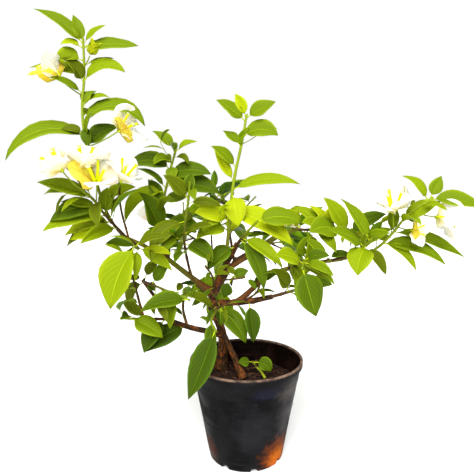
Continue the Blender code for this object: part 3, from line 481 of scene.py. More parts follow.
# Twigs and stray leaves on the bare wood, finer than the solids go.
SPURS = (
    spur("left_low_upright", "left_low", 0.5, ((-141, -4, 215), (-149, 2, 243)), radius=2.0, space=40,
         leaf=24, leaves=2, seed=3, tones=(FRESH, OLIVE)),
    spur("left_bough_upright", "left_low_bough", 0.62, ((-84, 4, 200), (-80, 2, 226)), radius=2.2,
         space=40, leaf=24, leaves=2, seed=4, tones=(OLIVE, MID),
         own=leaf_rows((0.05, 64, -150, -14, 22, 26, DEEP))),
    spur("cluster_upright", "left_reach_bough", 0.85, ((-166, 16, 340), (-162, 10, 396)), radius=1.6,
         space=60, seed=8, tones=(FRESH, MID),
         own=leaf_rows((0.97, 31, 178, 14, 26, 9, FRESH), (0.97, 18, -8, 20, 50, 8, MID),
             (0.80, 18, 60, 66, 20, 6, MID), (0.78, 34, 176, 22, 44, 10, FRESH))),
    spur("hanging_leaf_spur", "right_low_bough", 0.35, ((4, -14, 213),), radius=1.3, space=60, seed=5,
         tones=(DEEP,),
         own=leaf_rows((0.95, 52, -60, -68, 20, 19, DEEP))),
    spur("trunk_front_spur", "right_low_bough", 0.5, ((14, -8, 226), (18, -12, 252)), radius=1.4,
         space=34, leaf=25, leaves=7, seed=9, tones=(MID, DEEP, OLIVE)),
    spur("trunk_left_spur", "trunk", 0.56, ((-66, 4, 232), (-74, -6, 256)), radius=1.3, space=34,
         leaf=24, leaves=6, seed=12, tones=(MID, FRESH, OLIVE),
         own=leaf_rows((0.10, 28, 178, -22, 20, 10, MID))),
    spur("fork_spur", "trunk", 0.62, ((-44, -10, 246), (-52, -22, 262)), leaves=9, seed=15,
         tones=(DEEP, MID, OLIVE)),
    spur("fork_low_spur", "trunk", 0.5, ((-34, -10, 206), (-22, -22, 214)), leaf=18, leaves=8, seed=18,
         tones=(DEEP, MID, OLIVE)),
    spur("fork_high_spur", "trunk", 0.70, ((-18, -8, 242), (-2, -14, 246)), leaves=4, seed=21,
         tones=(MID, OLIVE, FRESH),
         own=leaf_rows((0.55, 27, -5, 42, 30, 14, MID), (0.60, 26, 178, -58, 20, 15, DEEP),
             (0.75, 20, 150, 66, 40, 8, OLIVE), (0.97, 22, -20, -20, 40, 8, MID))),
    spur("left_mid_spur", "left_mid_bough", 0.95, ((-134, 4, 240),), leaf=18, seed=23,
         tones=(OLIVE, MID),
         own=leaf_rows((0.90, 32, 4, 64, 25, 15, OLIVE), (0.50, 20, -8, -30, 30, 11, MID),
             (0.80, 22, 170, 20, 40, 9, MID))),
    spur("right_mid_spur", "right_mid_bough", 0.84, ((108, 6, 266),), seed=24, tones=(FRESH, MID),
         own=leaf_rows((0.90, 44, -174, 48, 14, 13, FRESH), (0.70, 34, -12, 40, 60, 11, MID))),
    spur("crown_front_spur", "trunk", 0.96, ((-4, -10, 296),), seed=25, tones=(FRESH, MID),
         own=leaf_rows((0.90, 36, -8, 34, 50, 9, MID), (0.60, 24, -30, 60, 50, 8, FRESH))),
)
GROWN = (*MASSES, *SPURS)

# Openings in the crown, measured off the front view.
OPENINGS = tuple(Opening(*row) for row in (
    (-49, 292, 12), (-73, 288, 10), (-32, 297, 9), (-15, 298, 8), (-1, 315, 8), (11, 297, 10),
    (41, 282, 8), (28, 255, 5), (48, 242, 8), (7, 263, 9), (-98, 333, 8), (-99, 315, 6),
    (-117, 359, 8), (-94, 354, 6), (-84, 354, 5), (-142, 310, 9), (-120, 314, 5), (-54, 356, 6),
    (-37, 330, 5), (-64, 258, 12), (-83, 263, 8), (-105, 235, 13), (-123, 246, 8), (-132, 212, 7),
    (-158, 218, 5), (-72, 196, 13), (-8, 226, 10), (-19, 218, 7), (-2, 242, 10), (-7, 182, 5),
    (111, 308, 6), (119, 321, 4), (138, 324, 6), (159, 306, 5), (144, 280, 6), (115, 268, 5),
    (99, 270, 4), (178, 242, 8), (180, 271, 6), (280, 356, 8), (-156, 151, 16), (-144, 170, 11),
    (-173, 192, 8), (36, 344, 14), (55, 346, 12), (8, 353, 10), (-49, 388, 6), (146, 268, 9),
    (92, 187, 8)))


# ---- curves ----
def smooth_curve(guides: Sequence, steps: int = RULE.curve_steps) -> Points:
    """Run a Catmull-Rom curve through guide points, the ends mirrored outwards.

    Args:
        guides: The points to pass.
        steps: Spans of the finished polyline.

    Returns:
        The polyline's points.
    """
    guides = [Vector(point) for point in guides]
    if len(guides) == 2:
        guides.insert(1, (guides[0] + guides[1]) / 2)
    knots = [2 * guides[0] - guides[1], *guides, 2 * guides[-1] - guides[-2]]
    spans = len(guides) - 1
    points = []
    for step in range(steps + 1):
        place = step / steps * spans
        span = min(int(place), spans - 1)
        t = place - span
        a, b, c, d = knots[span:span + 4]
        points.append(0.5 * (2 * b + (c - a) * t + (2 * a - 5 * b + 4 * c - d) * t ** 2
                             + (3 * b - a - 3 * c + d) * t ** 3))
    return points


def along(points: Points, share: float) -> tuple[Vector, Vector]:
    """Give the point and the unit direction at a share of a polyline's length.

    Args:
        points: The polyline.
        share: From 0 at its start to 1 at its end.

    Returns:
        The point and the direction.
    """
    lengths = [(b - a).length for a, b in zip(points, points[1:])]
    left = share * sum(lengths)
    for index, length in enumerate(lengths):
        if left <= length or index == len(lengths) - 1:
            direction = (points[index + 1] - points[index]).normalized()
            return points[index] + direction * left, direction
        left -= length
    raise ValueError("a polyline has at least two points")


def compass(bearing: float, rise: float) -> Vector:
    """Give the unit direction at a compass bearing and a rise above level, in degrees."""
    turn, lift = radians(bearing), radians(rise)
    return Vector((cos(lift) * cos(turn), cos(lift) * sin(turn), sin(lift)))


def spoke(axis: Vector, turn: float) -> Vector:
    """Give a unit direction square to an axis.

    Args:
        axis: The axis.
        turn: Degrees round it.

    Returns:
        The direction.
    """
    across = axis.orthogonal().normalized()
    around = axis.cross(across)
    return across * cos(radians(turn)) + around * sin(radians(turn))


def leaving(forward: Vector, turn: float, angle: float) -> Vector:
    """Give the direction that leaves a stem at an angle, turned round it.

    Args:
        forward: The stem's direction.
        turn: Degrees round the stem.
        angle: Degrees between the stem and the new direction.

    Returns:
        The unit direction.
    """
    spread = spoke(forward, turn)
    return forward * cos(radians(angle)) + spread * sin(radians(angle))


@dataclass(frozen=True)
class Arc:
    """A path that leaves its root at a bearing and a rise and bends down by its droop."""

    root: Vector
    bearing: float
    rise: float
    droop: float
    reach: float

    @classmethod
    def towards(cls, root: Vector, direction: Vector, droop: float, reach: float) -> "Arc":
        """Make an arc that leaves its root in a given direction."""
        bearing = degrees(atan2(direction.y, direction.x))
        return cls(root, bearing, degrees(asin(max(-1.0, min(1.0, direction.z)))), droop, reach)

    def point(self, share: float) -> Vector:
        """Give the point at a share of the reach.

        Args:
            share: From 0 at the root to 1 at the tip.

        Returns:
            The point.
        """
        level = compass(self.bearing, 0)
        start, bend = radians(self.rise), radians(self.droop or 0.01)
        out = (sin(start) - sin(start - bend * share)) / bend
        up = (cos(start - bend * share) - cos(start)) / bend
        return self.root + (level * out + Vector((0, 0, up))) * self.reach

    def direction(self, share: float) -> Vector:
        """Give the unit direction at a share of the reach."""
        return compass(self.bearing, self.rise - self.droop * share)

    def points(self, steps: int) -> Points:
        """Give evenly spaced points from root to tip."""
        return [self.point(step / steps) for step in range(steps + 1)]


@dataclass(frozen=True)
class Blade:
    """A leaf or a bract as it grows, with the way its face looks."""

    arc: Arc
    stalk: float
    width: float
    light: Vector
    stations: tuple
    tone: Tone | None = None

    @property
    def stalk_share(self) -> float:
        """Share of the path that is stalk."""
        return self.stalk / self.arc.reach

    def axes(self, share: float) -> tuple[Vector, Vector, Vector, Vector]:
        """Give the point on the path with the directions forward, across and out of the face.

        Args:
            share: From 0 at the foot to 1 at the tip.

        Returns:
            The point and three unit directions.
        """
        place, forward = self.arc.point(share), self.arc.direction(share)
        top = (self.light - forward * self.light.dot(forward)).normalized()
        return place, forward, top.cross(forward), top

    def section(self, share: float, width: float, swell: float = 0.0) -> Points:
        """Give three corners across the solid blade: left edge, right edge and keel.

        Args:
            share: From 0 at the foot to 1 at the tip.
            width: Of the blade there.
            swell: Millimetres by which it grows.

        Returns:
            The corners.
        """
        place, _, side, top = self.axes(share)
        half = width / 2 + swell
        keel = min(RULE.blade_thickness, width * RULE.keel_share) + swell
        lift = width * RULE.fold + swell
        return [place + side * half + top * lift, place - side * half + top * lift, place - top * keel]

    def skin(self, swell: float = 0.0, blade_only: bool = False) -> Shell:
        """Give the solid blade's corners and triangles.

        Args:
            swell: Millimetres by which it grows.
            blade_only: True to leave its stalk out.

        Returns:
            The corners and triangles.
        """
        rows = [] if blade_only else [self.section(0.0, RULE.stalk_root_width, swell)]
        rows.append(self.section(self.stalk_share + 0.02, RULE.stalk_width, swell))
        for share, width in self.stations:
            place = self.stalk_share + (1 - self.stalk_share) * share
            rows.append(self.section(place, self.width * width, swell))
        return facets(rows, self.arc.point(1.0) + self.arc.direction(1.0) * swell)


def carried_frames(points: Points) -> list[Matrix]:
    """Carry a frame along a polyline without twisting it.

    Args:
        points: The polyline.

    Returns:
        One 3 by 3 matrix to each point: its columns point twice across and forward.
    """
    frames = []
    reference = Vector((0.31, 0.95, 0.1))
    for index in range(len(points)):
        before, after = points[max(index - 1, 0)], points[min(index + 1, len(points) - 1)]
        forward = (after - before).normalized()
        reference = (reference - forward * reference.dot(forward)).normalized()
        frames.append(Matrix((reference, forward.cross(reference), forward)).transposed())
    return frames


def tube_sections(points: Points, radii: Sequence[float], sides: int) -> list[Points]:
    """Give one ring of corners round each point of a polyline.

    Args:
        points: The polyline.
        radii: One to each point.
        sides: Corners of a ring.

    Returns:
        The rings.
    """
    arms = [Vector((cos(turn), sin(turn), 0)) for turn in (2 * pi * k / sides for k in range(sides))]
    return [[point + axes @ arm * radius for arm in arms]
            for point, axes, radius in zip(points, carried_frames(points), radii)]


def facets(rings: list[Points], tip: Vector | None = None) -> Shell:
    """Close a skin over rings of corners, for the clearance tests.

    Args:
        rings: Rings of corners, all of one count.
        tip: The pointed end, or None for a flat cap.

    Returns:
        The corners and the triangles.
    """
    sides = len(rings[0])
    corners = [corner for ring in rings for corner in ring]
    faces = [(0, k + 1, k) for k in range(1, sides - 1)]
    for row in range(len(rings) - 1):
        for k in range(sides):
            a, b = row * sides + k, row * sides + (k + 1) % sides
            faces += [(a, b, b + sides), (a, b + sides, a + sides)]
    last = (len(rings) - 1) * sides
    if tip is None:
        faces += [(last, last + k, last + k + 1) for k in range(1, sides - 1)]
    else:
        corners.append(tip)
        faces += [(last + k, last + (k + 1) % sides, len(corners) - 1) for k in range(sides)]
    return corners, faces


# ---- growth ----
def ball_round(corners: Points) -> tuple[Vector, float]:
    """Give the middle and the radius of a ball round a solid's corners."""
    centre = sum(corners, Vector()) / len(corners)
    return centre, max((corner - centre).length for corner in corners)


class Clearance:
    """All that has grown so far, to test whether a new part would touch it."""

    def __init__(self) -> None:
        """Start with nothing grown."""
        self.things: list[tuple] = []

    def add(self, owner: str, part: str, skin: Shell) -> None:
        """Keep a solid under its owner's name and its own."""
        self.things.append((owner, part, *ball_round(skin[0]), BVHTree.FromPolygons(*skin)))

    def is_free(self, skin: Shell, skip: Callable[[str, str], bool]) -> bool:
        """Tell whether a solid crosses nothing but what skip names.

        Args:
            skin: The solid's corners and triangles.
            skip: Given an owner and a part, True for what may be crossed.

        Returns:
            True where it is free.
        """
        centre, radius = ball_round(skin[0])
        tree = None
        for owner, part, other, other_radius, other_tree in self.things:
            if (centre - other).length > radius + other_radius or skip(owner, part):
                continue
            tree = tree or BVHTree.FromPolygons(*skin)
            if tree.overlap(other_tree):
                return False
        return True


def outside_pot(corners: Points) -> bool:
    """Tell whether every corner is above the rim or clear of the pot."""
    return all(corner.z > POT.height + RULE.pot_clear
               or hypot(corner.x, corner.y) > POT.rim_radius + RULE.pot_clear for corner in corners)


@dataclass(frozen=True)
class Wood:
    """A stem, twig, sprig or bloom stalk: its centre line and end radii."""

    kind: str
    points: Points
    radius: float
    tip_radius: float

    def skin(self, swell: float = 0.0) -> Shell:
        """Give the solid's corners and triangles.

        Args:
            swell: Millimetres by which it grows.

        Returns:
            The corners and triangles.
        """
        last = len(self.points) - 1
        radii = [self.radius + (self.tip_radius - self.radius) * step / last + swell
                 for step in range(last + 1)]
        return facets(tube_sections(self.points, radii, RULE.stem_sides))


@dataclass(frozen=True)
class Flower:
    """A grown bloom: where its bracts meet, the way it faces, its turn and its size."""

    seat: Vector
    axis: Vector
    turn: float
    size: float
    opening: float


class Bush:
    """Grows every limb, stem, twig, leaf and bract from the tables above."""

    def __init__(self) -> None:
        """Start with bare soil."""
        self.clearance = Clearance()
        self.curves: dict[str, Points] = {}
        self.limb_guides: dict[str, tuple] = {}
        self.woods: dict[str, list[Wood]] = defaultdict(list)
        self.blades: dict[str, list[Blade]] = defaultdict(list)
        self.small: dict[str, list[Blade]] = defaultdict(list)
        self.flowers: dict[str, list[Flower]] = defaultdict(list)
        self.bracts: dict[str, list[Blade]] = defaultdict(list)

    def grow(self) -> "Bush":
        """Grow limbs, stems, what is listed, the rule's leaves, and the fine sprigs last.

        Returns:
            This bush, grown.
        """
        for limb in LIMBS:
            self.grow_limb(limb)
        for masses in (MASSES, SPURS):
            for mass in masses:
                root = along(self.curves[mass.bough], mass.at)[0]
                points = smooth_curve((root, *mass.guides), RULE.stem_steps)
                self.curves[mass.name] = points
                self.add_wood(mass, Wood("stem", points, mass.radius, RULE.stem_tip_radius))
            for mass in masses:
                self.grow_blooms(mass)
                self.grow_own_leaves(mass)
            for mass in masses:
                self.grow_by_rule(mass)
        for mass in GROWN:
            self.grow_sprigs(mass)
        return self

    def stem(self, mass: Mass) -> Points:
        """Give the centre line of a mass's one stem."""
        return self.woods[mass.name][0].points

    def grow_limb(self, limb: Limb) -> None:
        """Lay a limb's curve, with a root flare where it stands on the soil.

        Args:
            limb: Its row.
        """
        guides = limb.guides
        if limb.parent:
            guides = (along(self.curves[limb.parent], limb.at)[0], *guides)
        points = smooth_curve(guides)
        self.curves[limb.name], self.limb_guides[limb.name] = points, guides
        last = len(points) - 1
        swollen = [limb_radius(limb, step / last) + RULE.swell for step in range(last + 1)]
        self.clearance.add(limb.name, "limb", facets(tube_sections(points, swollen, limb.sides)))

    def add_wood(self, mass: Mass, wood: Wood) -> None:
        """Keep a stem or a twig."""
        self.woods[mass.name].append(wood)
        self.clearance.add(mass.name, wood.kind, wood.skin())

    def add_blade(self, mass: Mass, blade: Blade, always: bool = False, small: bool = False) -> bool:
        """Keep a leaf or a bract unless it would leave its mass's space, close an opening or touch.

        Args:
            mass: The mass that it belongs to.
            blade: The leaf or bract.
            always: True for a listed one, which may touch its own mass.
            small: True for a small leaf of a sprig.

        Returns:
            True where it was kept.
        """
        tip = blade.arc.point(1.0)
        full, inner = blade.skin(RULE.swell), blade.skin(0.0, blade_only=True)
        in_space = always or min((tip - point).length for point in self.stem(mass)) <= mass.space
        closes = not always and any(opening.hides(blade.arc.point(share)) for opening in OPENINGS
                                    for share in RULE.seen_at)
        near = (mass.name, mass.bough)
        kept = (in_space and not closes and (outside_pot(full[0]) or mass.bough == "pot_shoot")
                and (mass.woody or self.clearance.is_free(full, lambda owner, part: owner in near))
                and (always or self.clearance.is_free(inner, lambda owner, part: owner not in near)))
        if kept:
            kept_in = self.bracts if blade.stations is RULE.bract_stations else self.blades
            (self.small if small else kept_in)[mass.name].append(blade)
            self.clearance.add(mass.name, "blade", blade.skin())
        return kept

    def light_at(self, mass: Mass, place: Vector) -> Vector:
        """Give the way a leaf's face looks: up, and to the front or outwards.

        Args:
            mass: The mass that bears the leaf.
            place: The leaf's root.

        Returns:
            The direction.
        """
        outward = Vector((0, -1, 0))
        if mass.face is Face.OUTWARD:
            outward = Vector((place.x * 0.5, place.y, 0)).normalized()
        tilt = radians(RULE.face_tilt)
        return Vector((0, 0, cos(tilt))) + outward * sin(tilt)

    def grow_own_leaves(self, mass: Mass) -> None:
        """Place the listed leaves on a mass's stem.

        Args:
            mass: The mass.
        """
        for leaf in mass.own:
            root = along(self.stem(mass), leaf.at)[0]
            arc = Arc(root, leaf.bearing, leaf.rise, leaf.droop, leaf.reach)
            light = self.light_at(mass, root)
            blade = Blade(arc, RULE.stalk_length, leaf.width, light, RULE.blade_stations, leaf.tone)
            self.add_blade(mass, blade, always=True)

    def grow_blooms(self, mass: Mass) -> None:
        """Place each bloom: a stalk and three bracts that open round its end.

        Args:
            mass: The mass.
        """
        for bloom in mass.blooms:
            root = along(self.stem(mass), bloom.at)[0]
            arc = Arc(root, bloom.bearing, bloom.rise, -15, bloom.reach)
            stalk = Wood("stalk", arc.points(RULE.stalk_steps), RULE.twig_tip_radius,
                         RULE.twig_tip_radius)
            self.add_wood(mass, stalk)
            axis = arc.direction(1.0)
            for petal in range(3):
                heading = leaving(axis, bloom.turn + 120 * petal, bloom.opening)
                path = Arc.towards(arc.point(RULE.bract_seat), heading, RULE.bract_droop,
                                   RULE.bract_length * bloom.size)
                tone = (YOUNG if bloom.opening < RULE.bud_opening
                        else OLIVE if petal in bloom.aged else None)
                bract = Blade(path, RULE.bract_stalk, RULE.bract_width * bloom.size, axis,
                              RULE.bract_stations, tone)
                self.add_blade(mass, bract, always=True)
            self.flowers[mass.name].append(
                Flower(arc.point(RULE.bract_seat), axis, bloom.turn, bloom.size, bloom.opening))

    def grow_by_rule(self, mass: Mass) -> None:
        """Set side twigs round the stem at the golden angle, then leaves on the stem and twigs.

        Args:
            mass: The mass.
        """
        chance = random.Random(mass.seed)
        bearers = [(self.stem(mass), mass.leaves, RULE.stem_leaf_zone)]
        low, high = RULE.twig_zone
        for index in range(mass.twigs):
            share = low + (high - low) * (index + 0.5) / mass.twigs
            root, forward = along(self.stem(mass), share)
            bearing = index * RULE.golden_angle + chance.uniform(0, 360)
            heading = leaving(forward, bearing, RULE.leaving_angle)
            arc = Arc.towards(root, heading, chance.uniform(*RULE.twig_droop),
                              mass.twig * chance.uniform(*RULE.twig_reach))
            points = arc.points(RULE.twig_steps)
            away = (points[-1] - points[0]) * RULE.twig_root_clear
            tested = Wood("twig", [point + away for point in points], RULE.twig_radius,
                          RULE.twig_radius)
            if self.clearance.is_free(tested.skin(RULE.swell),
                                      lambda owner, part: owner == mass.name and part == "stem"):
                self.add_wood(mass, Wood("twig", points, RULE.twig_radius, RULE.twig_tip_radius))
                bearers.append((points, mass.twig_leaves, RULE.twig_leaf_zone))
        for points, count, (first, last) in bearers:
            turn = chance.uniform(0, 360)
            for index in range(count):
                share = first + (last - first) * (index + chance.uniform(*RULE.leaf_place)) / count
                root, forward = along(points, share)
                angle = RULE.leaving_angle + chance.uniform(-RULE.leaving_spread, RULE.leaving_spread)
                heading = leaving(forward, turn + index * RULE.golden_angle, angle)
                size = mass.leaf * (1.1 - 0.35 * share) * chance.uniform(*RULE.leaf_reach)
                size += RULE.stalk_length
                arc = Arc.towards(root, heading, chance.uniform(*RULE.leaf_droop), size)
                width = (size - RULE.stalk_length) * chance.uniform(*RULE.leaf_width)
                light = self.light_at(mass, root)
                self.add_blade(mass, Blade(arc, RULE.stalk_length, width, light,
                                           RULE.blade_stations[:2]))

    def grow_sprigs(self, mass: Mass) -> None:
        """Carry the mass on to fine twigs with small leaves, inside the same space.

        Args:
            mass: The mass.
        """
        chance = random.Random(mass.seed + RULE.sprig_seed)
        turn = chance.uniform(0, 360)
        first, last = RULE.sprig_zone
        for index in range(mass.sprigs):
            place = index + chance.uniform(*RULE.leaf_place)
            share = first + (last - first) * place / mass.sprigs
            root, forward = along(self.stem(mass), share)
            heading = leaving(forward, turn + index * RULE.golden_angle, RULE.leaving_angle)
            arc = Arc.towards(root, heading, chance.uniform(*RULE.sprig_droop),
                              RULE.sprig * chance.uniform(*RULE.sprig_reach))
            sprig = Wood("sprig", arc.points(RULE.twig_steps), RULE.sprig_radius,
                         RULE.sprig_radius * 0.6)
            borne = [self.grow_small_leaf(mass, sprig, number, chance)
                     for number in range(RULE.sprig_leaves)]
            if any(borne):
                self.add_wood(mass, sprig)

    def grow_small_leaf(self, mass: Mass, sprig: Wood, place: int, chance: random.Random) -> bool:
        """Set one small leaf on a sprig.

        Args:
            mass: The mass that it belongs to.
            sprig: The fine twig that bears it.
            place: Its number along the sprig.
            chance: The mass's random numbers.

        Returns:
            True where the leaf was kept.
        """
        root, forward = along(sprig.points, 0.35 + 0.62 * place / (RULE.sprig_leaves - 1))
        turn = place * RULE.golden_angle + chance.uniform(-20, 20)
        heading = leaving(forward, turn, chance.uniform(30, 60))
        size = RULE.sprig_leaf * chance.uniform(*RULE.small_reach)
        arc = Arc.towards(root, heading, chance.uniform(*RULE.small_droop), size + RULE.sprig_stalk)
        blade = Blade(arc, RULE.sprig_stalk, size * chance.uniform(*RULE.small_width),
                      self.light_at(mass, root), RULE.blade_stations[:2])
        return self.add_blade(mass, blade, small=True)


def limb_radius(limb: Limb, share: float) -> float:
    """Give a limb's radius, with the root flare of one that stands on soil.

    Args:
        limb: Its row.
        share: From 0 at its root to 1 at its tip.

    Returns:
        The radius, in millimetres.
    """
    radius = limb.radius + (limb.tip_radius - limb.radius) * share
    if not limb.parent:
        flare = RULE.root_flare * (limb.radius / RULE.trunk_radius) ** 2
        radius += flare * exp(-share / RULE.flare_share)
    return radius


# ---- finishes ----
def per_mm(size: float) -> float:
    """Give a pattern's scale, in cells to the metre, from a size in millimetres."""
    return 1.0 / (size * MM)


class Recipe:
    """One material's node tree."""

    def __init__(self, name: str) -> None:
        """Start an empty material, named for what the finish is.

        Args:
            name: The material's name.
        """
        self.material = bpy.data.materials.new(name)
        self.material.use_nodes = True
        self.tree = self.material.node_tree
        self.tree.nodes.clear()

    def node(self, kind: str, *values: Input, named: dict | None = None, output: int | str = 0,
             **properties: object) -> Socket:
        """Add one shader node and give the output that goes on from it.

        Args:
            kind: The node's type name, without its prefix.
            *values: Its first inputs, in order.
            named: Its other inputs, by name or index.
            output: The output that goes on.
            **properties: Properties of the node itself.

        Returns:
            The output's socket.
        """
        inputs = {**dict(enumerate(values)), **(named or {})}
        return add_node(self.tree, "ShaderNode" + kind, inputs, **properties).outputs[output]

    def across_and_along(self) -> tuple[Socket, Socket]:
        """Give the distance from a blade's rib, 0 to 0.5, and the share along the blade.

        Returns:
            The two sockets.
        """
        leaf_map = self.node("UVMap", uv_map=LEAF_MAP)
        parts = add_node(self.tree, "ShaderNodeSeparateXYZ", {0: leaf_map}).outputs
        across = self.node("Math", parts[0], 0.5, operation="SUBTRACT")
        return self.node("Math", across, operation="ABSOLUTE"), parts[1]

    def finish(self, colour: Input, roughness: Input, relief: tuple | None = None, ior: float = 1.45,
               specular: float = 0.5, through: float = 0.0) -> Material:
        """Close the recipe with its shader.

        Args:
            colour: A hex colour or a socket.
            roughness: A number or a socket.
            relief: The height's socket, its depth in millimetres and its strength, if any.
            ior: The index of refraction.
            specular: The shader's specular level.
            through: The share of the light that passes through a thin sheet.

        Returns:
            The material.
        """
        inputs = {"Base Color": colour, "Roughness": roughness, "IOR": ior,
                  "Specular IOR Level": specular}
        if relief:
            height, depth, strength = relief
            inputs["Normal"] = self.node("Bump", named={"Height": height, "Distance": depth * MM,
                                                        "Strength": strength})
        shader = self.node("BsdfPrincipled", named=inputs)
        if through:
            shader = self.node("MixShader", through, shader, self.node("BsdfTranslucent", colour))
        add_node(self.tree, "ShaderNodeOutputMaterial", {0: shader})
        return self.material


@dataclass(frozen=True)
class LeafFinish:
    """The skin of a leaf: a waxed upper face with sunk veins, or the duller under face, darkened as
    painted shade.
    """

    name: str
    colour: str
    shade: str  # of its darker patches
    vein: str
    roughness: float = 0.40  # a thin wax gives a soft sheen
    glow: float = 0.22  # share of the light that passes through the blade
    rib_half_width: float = 0.018  # of the blade's width
    side_veins: float = 7.0  # to a side
    mottle: float = 11.0  # mm, patches of lighter and darker green
    tint: float = 48.0  # mm, over which one leaf differs from the next

    def build(self) -> Material:
        """Build the leaf from its own map: across the blade in x, along it in y.

        Returns:
            The material.
        """
        recipe = Recipe(self.name)
        off_rib, along_it = recipe.across_and_along()
        rib = recipe.node("MapRange", off_rib, self.rib_half_width * 0.4, self.rib_half_width, 0.75,
                          0.0)
        slant = recipe.node("Math", off_rib, -1.1, operation="MULTIPLY")
        climb = recipe.node("Math", along_it, slant, operation="ADD")
        count = recipe.node("Math", climb, self.side_veins, operation="MULTIPLY")
        beat = recipe.node("Math", count, 0.5, operation="PINGPONG")
        side_veins = recipe.node("MapRange", beat, 0.0, 0.12, 0.20, 0.0)
        veins = recipe.node("Math", rib, side_veins, operation="MAXIMUM")
        body = recipe.node("TexCoord", output="Object")
        mottle = recipe.node("TexNoise", body, named={"Scale": per_mm(self.mottle), "Detail": 3.0})
        patch = recipe.node("MapRange", mottle, 0.38, 0.70)
        tint = recipe.node("TexNoise", body, named={"Scale": per_mm(self.tint), "Detail": 1.0})
        drift = recipe.node("MapRange", tint, 0.42, 0.60)
        darker = recipe.node("Math", patch, drift, operation="MAXIMUM")
        green = recipe.node("Mix", darker, named={6: self.colour, 7: self.shade}, **OF_COLOURS)
        # Paler towards the margins: painted light, standing in for light through the thin edge.
        rim = recipe.node("MapRange", off_rib, 0.36, 0.5, 0.0, 0.45)
        rimmed = recipe.node("Mix", rim, named={6: green, 7: self.vein}, **OF_COLOURS)
        colour = recipe.node("Mix", veins, named={6: rimmed, 7: self.vein}, **OF_COLOURS)
        raised = recipe.node("Math", patch, 0.2, operation="MULTIPLY")
        sunk = recipe.node("Math", raised, veins, operation="SUBTRACT")
        return recipe.finish(colour, self.roughness, (sunk, 0.5, 0.6), specular=0.12, through=self.glow)


@dataclass(frozen=True)
class BarkFinish:
    """Fissured bark: corky skin split lengthwise, red-brown where worn and dark in its cracks."""

    name: str = "fissured_bark"
    worn: str = "#8A4C16"
    crack: str = "#180B02"
    weathered: str = "#402A08"
    fissure: float = 1.5  # mm between cracks, round the limb
    stretch: float = 8.0  # how much longer than wide a plate of bark is
    grain: float = 1.6  # mm, of the roughness on a plate
    fleck: float = 9.0  # mm, weathered patches

    def build(self) -> Material:
        """Build the bark from its own map in metres, round the limb in x and along it in y.

        Returns:
            The material.
        """
        recipe = Recipe(self.name)
        skin_map = recipe.node("UVMap", uv_map=SKIN_MAP)
        drawn = recipe.node("Mapping", skin_map, named={"Scale": (1.0, 1.0 / self.stretch, 1.0)})
        plates = recipe.node("TexVoronoi", drawn, named={"Scale": per_mm(self.fissure)},
                             feature="DISTANCE_TO_EDGE")
        cracks = recipe.node("MapRange", plates, 0.0, 0.16)
        grain = recipe.node("TexNoise", drawn,
                            named={"Scale": per_mm(self.grain), "Detail": 6.0, "Roughness": 0.65})
        height = recipe.node("Math", cracks, grain, operation="MULTIPLY")
        body = recipe.node("TexCoord", output="Object")
        flecks = recipe.node("TexNoise", body, named={"Scale": per_mm(self.fleck), "Detail": 4.0})
        fleck = recipe.node("MapRange", flecks, 0.40, 0.60)
        skin = recipe.node("Mix", fleck, named={6: self.worn, 7: self.weathered}, **OF_COLOURS)
        proud = recipe.node("MapRange", height, 0.08, 0.58)
        colour = recipe.node("Mix", proud, named={6: self.crack, 7: skin}, **OF_COLOURS)
        return recipe.finish(colour, 0.85, (height, 0.8, 0.9), ior=1.5, specular=0.25)


@dataclass(frozen=True)
class ShootFinish:
    """The skin of a young stem: brown cork at its root, smooth green towards its tip."""

    name: str
    root: str
    tip: str
    turns_at: float = 0.35  # share of its length where the cork gives out
    roughness: float = 0.5
    streak: float = 5.0  # mm

    def build(self) -> Material:
        """Build the shoot's skin from its growth map: share of its length in x.

        Returns:
            The material.
        """
        recipe = Recipe(self.name)
        shares = recipe.node("UVMap", uv_map=GROWTH_MAP)
        growth = recipe.node("SeparateXYZ", shares)
        body = recipe.node("TexCoord", output="Object")
        streaks = recipe.node("TexNoise", body, named={"Scale": per_mm(self.streak), "Detail": 4.0})
        drift = recipe.node("Math", streaks, 0.4, operation="MULTIPLY")
        place = recipe.node("Math", growth, drift, operation="ADD")
        cork = recipe.node("MapRange", place, self.turns_at, self.turns_at + 0.4)
        colour = recipe.node("Mix", cork, named={6: self.root, 7: self.tip}, **OF_COLOURS)
        return recipe.finish(colour, self.roughness, (streaks, 0.3, 0.4), specular=0.2)


@dataclass(frozen=True)
class BractFinish:
    """A papery bract: dry, thin and nearly white, with a net of veins and a green-yellow foot."""

    name: str = "papery_bract"
    paper: str = "#FFFFFC"
    vein: str = "#FBF2DC"
    foot: str = "#ECE070"
    blush: str = "#FFF3DE"
    net: float = 5.0  # mm, meshes of the vein net
    blot: float = 20.0  # mm, patches of the blush
    glow: float = 0.5  # share of the light that passes through the paper

    def build(self) -> Material:
        """Build the bract's paper from its own map and a net of veins.

        Returns:
            The material.
        """
        recipe = Recipe(self.name)
        off_rib, along_it = recipe.across_and_along()
        body = recipe.node("TexCoord", output="Object")
        net = recipe.node("TexVoronoi", body, named={"Scale": per_mm(self.net)},
                          feature="DISTANCE_TO_EDGE")
        thread = recipe.node("MapRange", net, 0.0, 0.10, 0.45, 0.0)
        rib = recipe.node("MapRange", off_rib, 0.008, 0.03, 0.9, 0.0)
        veins = recipe.node("Math", rib, thread, operation="MAXIMUM")
        blot = recipe.node("TexNoise", body, named={"Scale": per_mm(self.blot), "Detail": 2.0})
        flush = recipe.node("MapRange", blot, 0.48, 0.7)
        foot = recipe.node("MapRange", along_it, 0.02, 0.26, 0.9, 0.0)
        flushed = recipe.node("Mix", flush, named={6: self.paper, 7: self.blush}, **OF_COLOURS)
        paper = recipe.node("Mix", foot, named={6: flushed, 7: self.foot}, **OF_COLOURS)
        colour = recipe.node("Mix", veins, named={6: paper, 7: self.vein}, **OF_COLOURS)
        return recipe.finish(colour, 0.75, (veins, 0.2, 0.2), specular=0.2, through=self.glow)


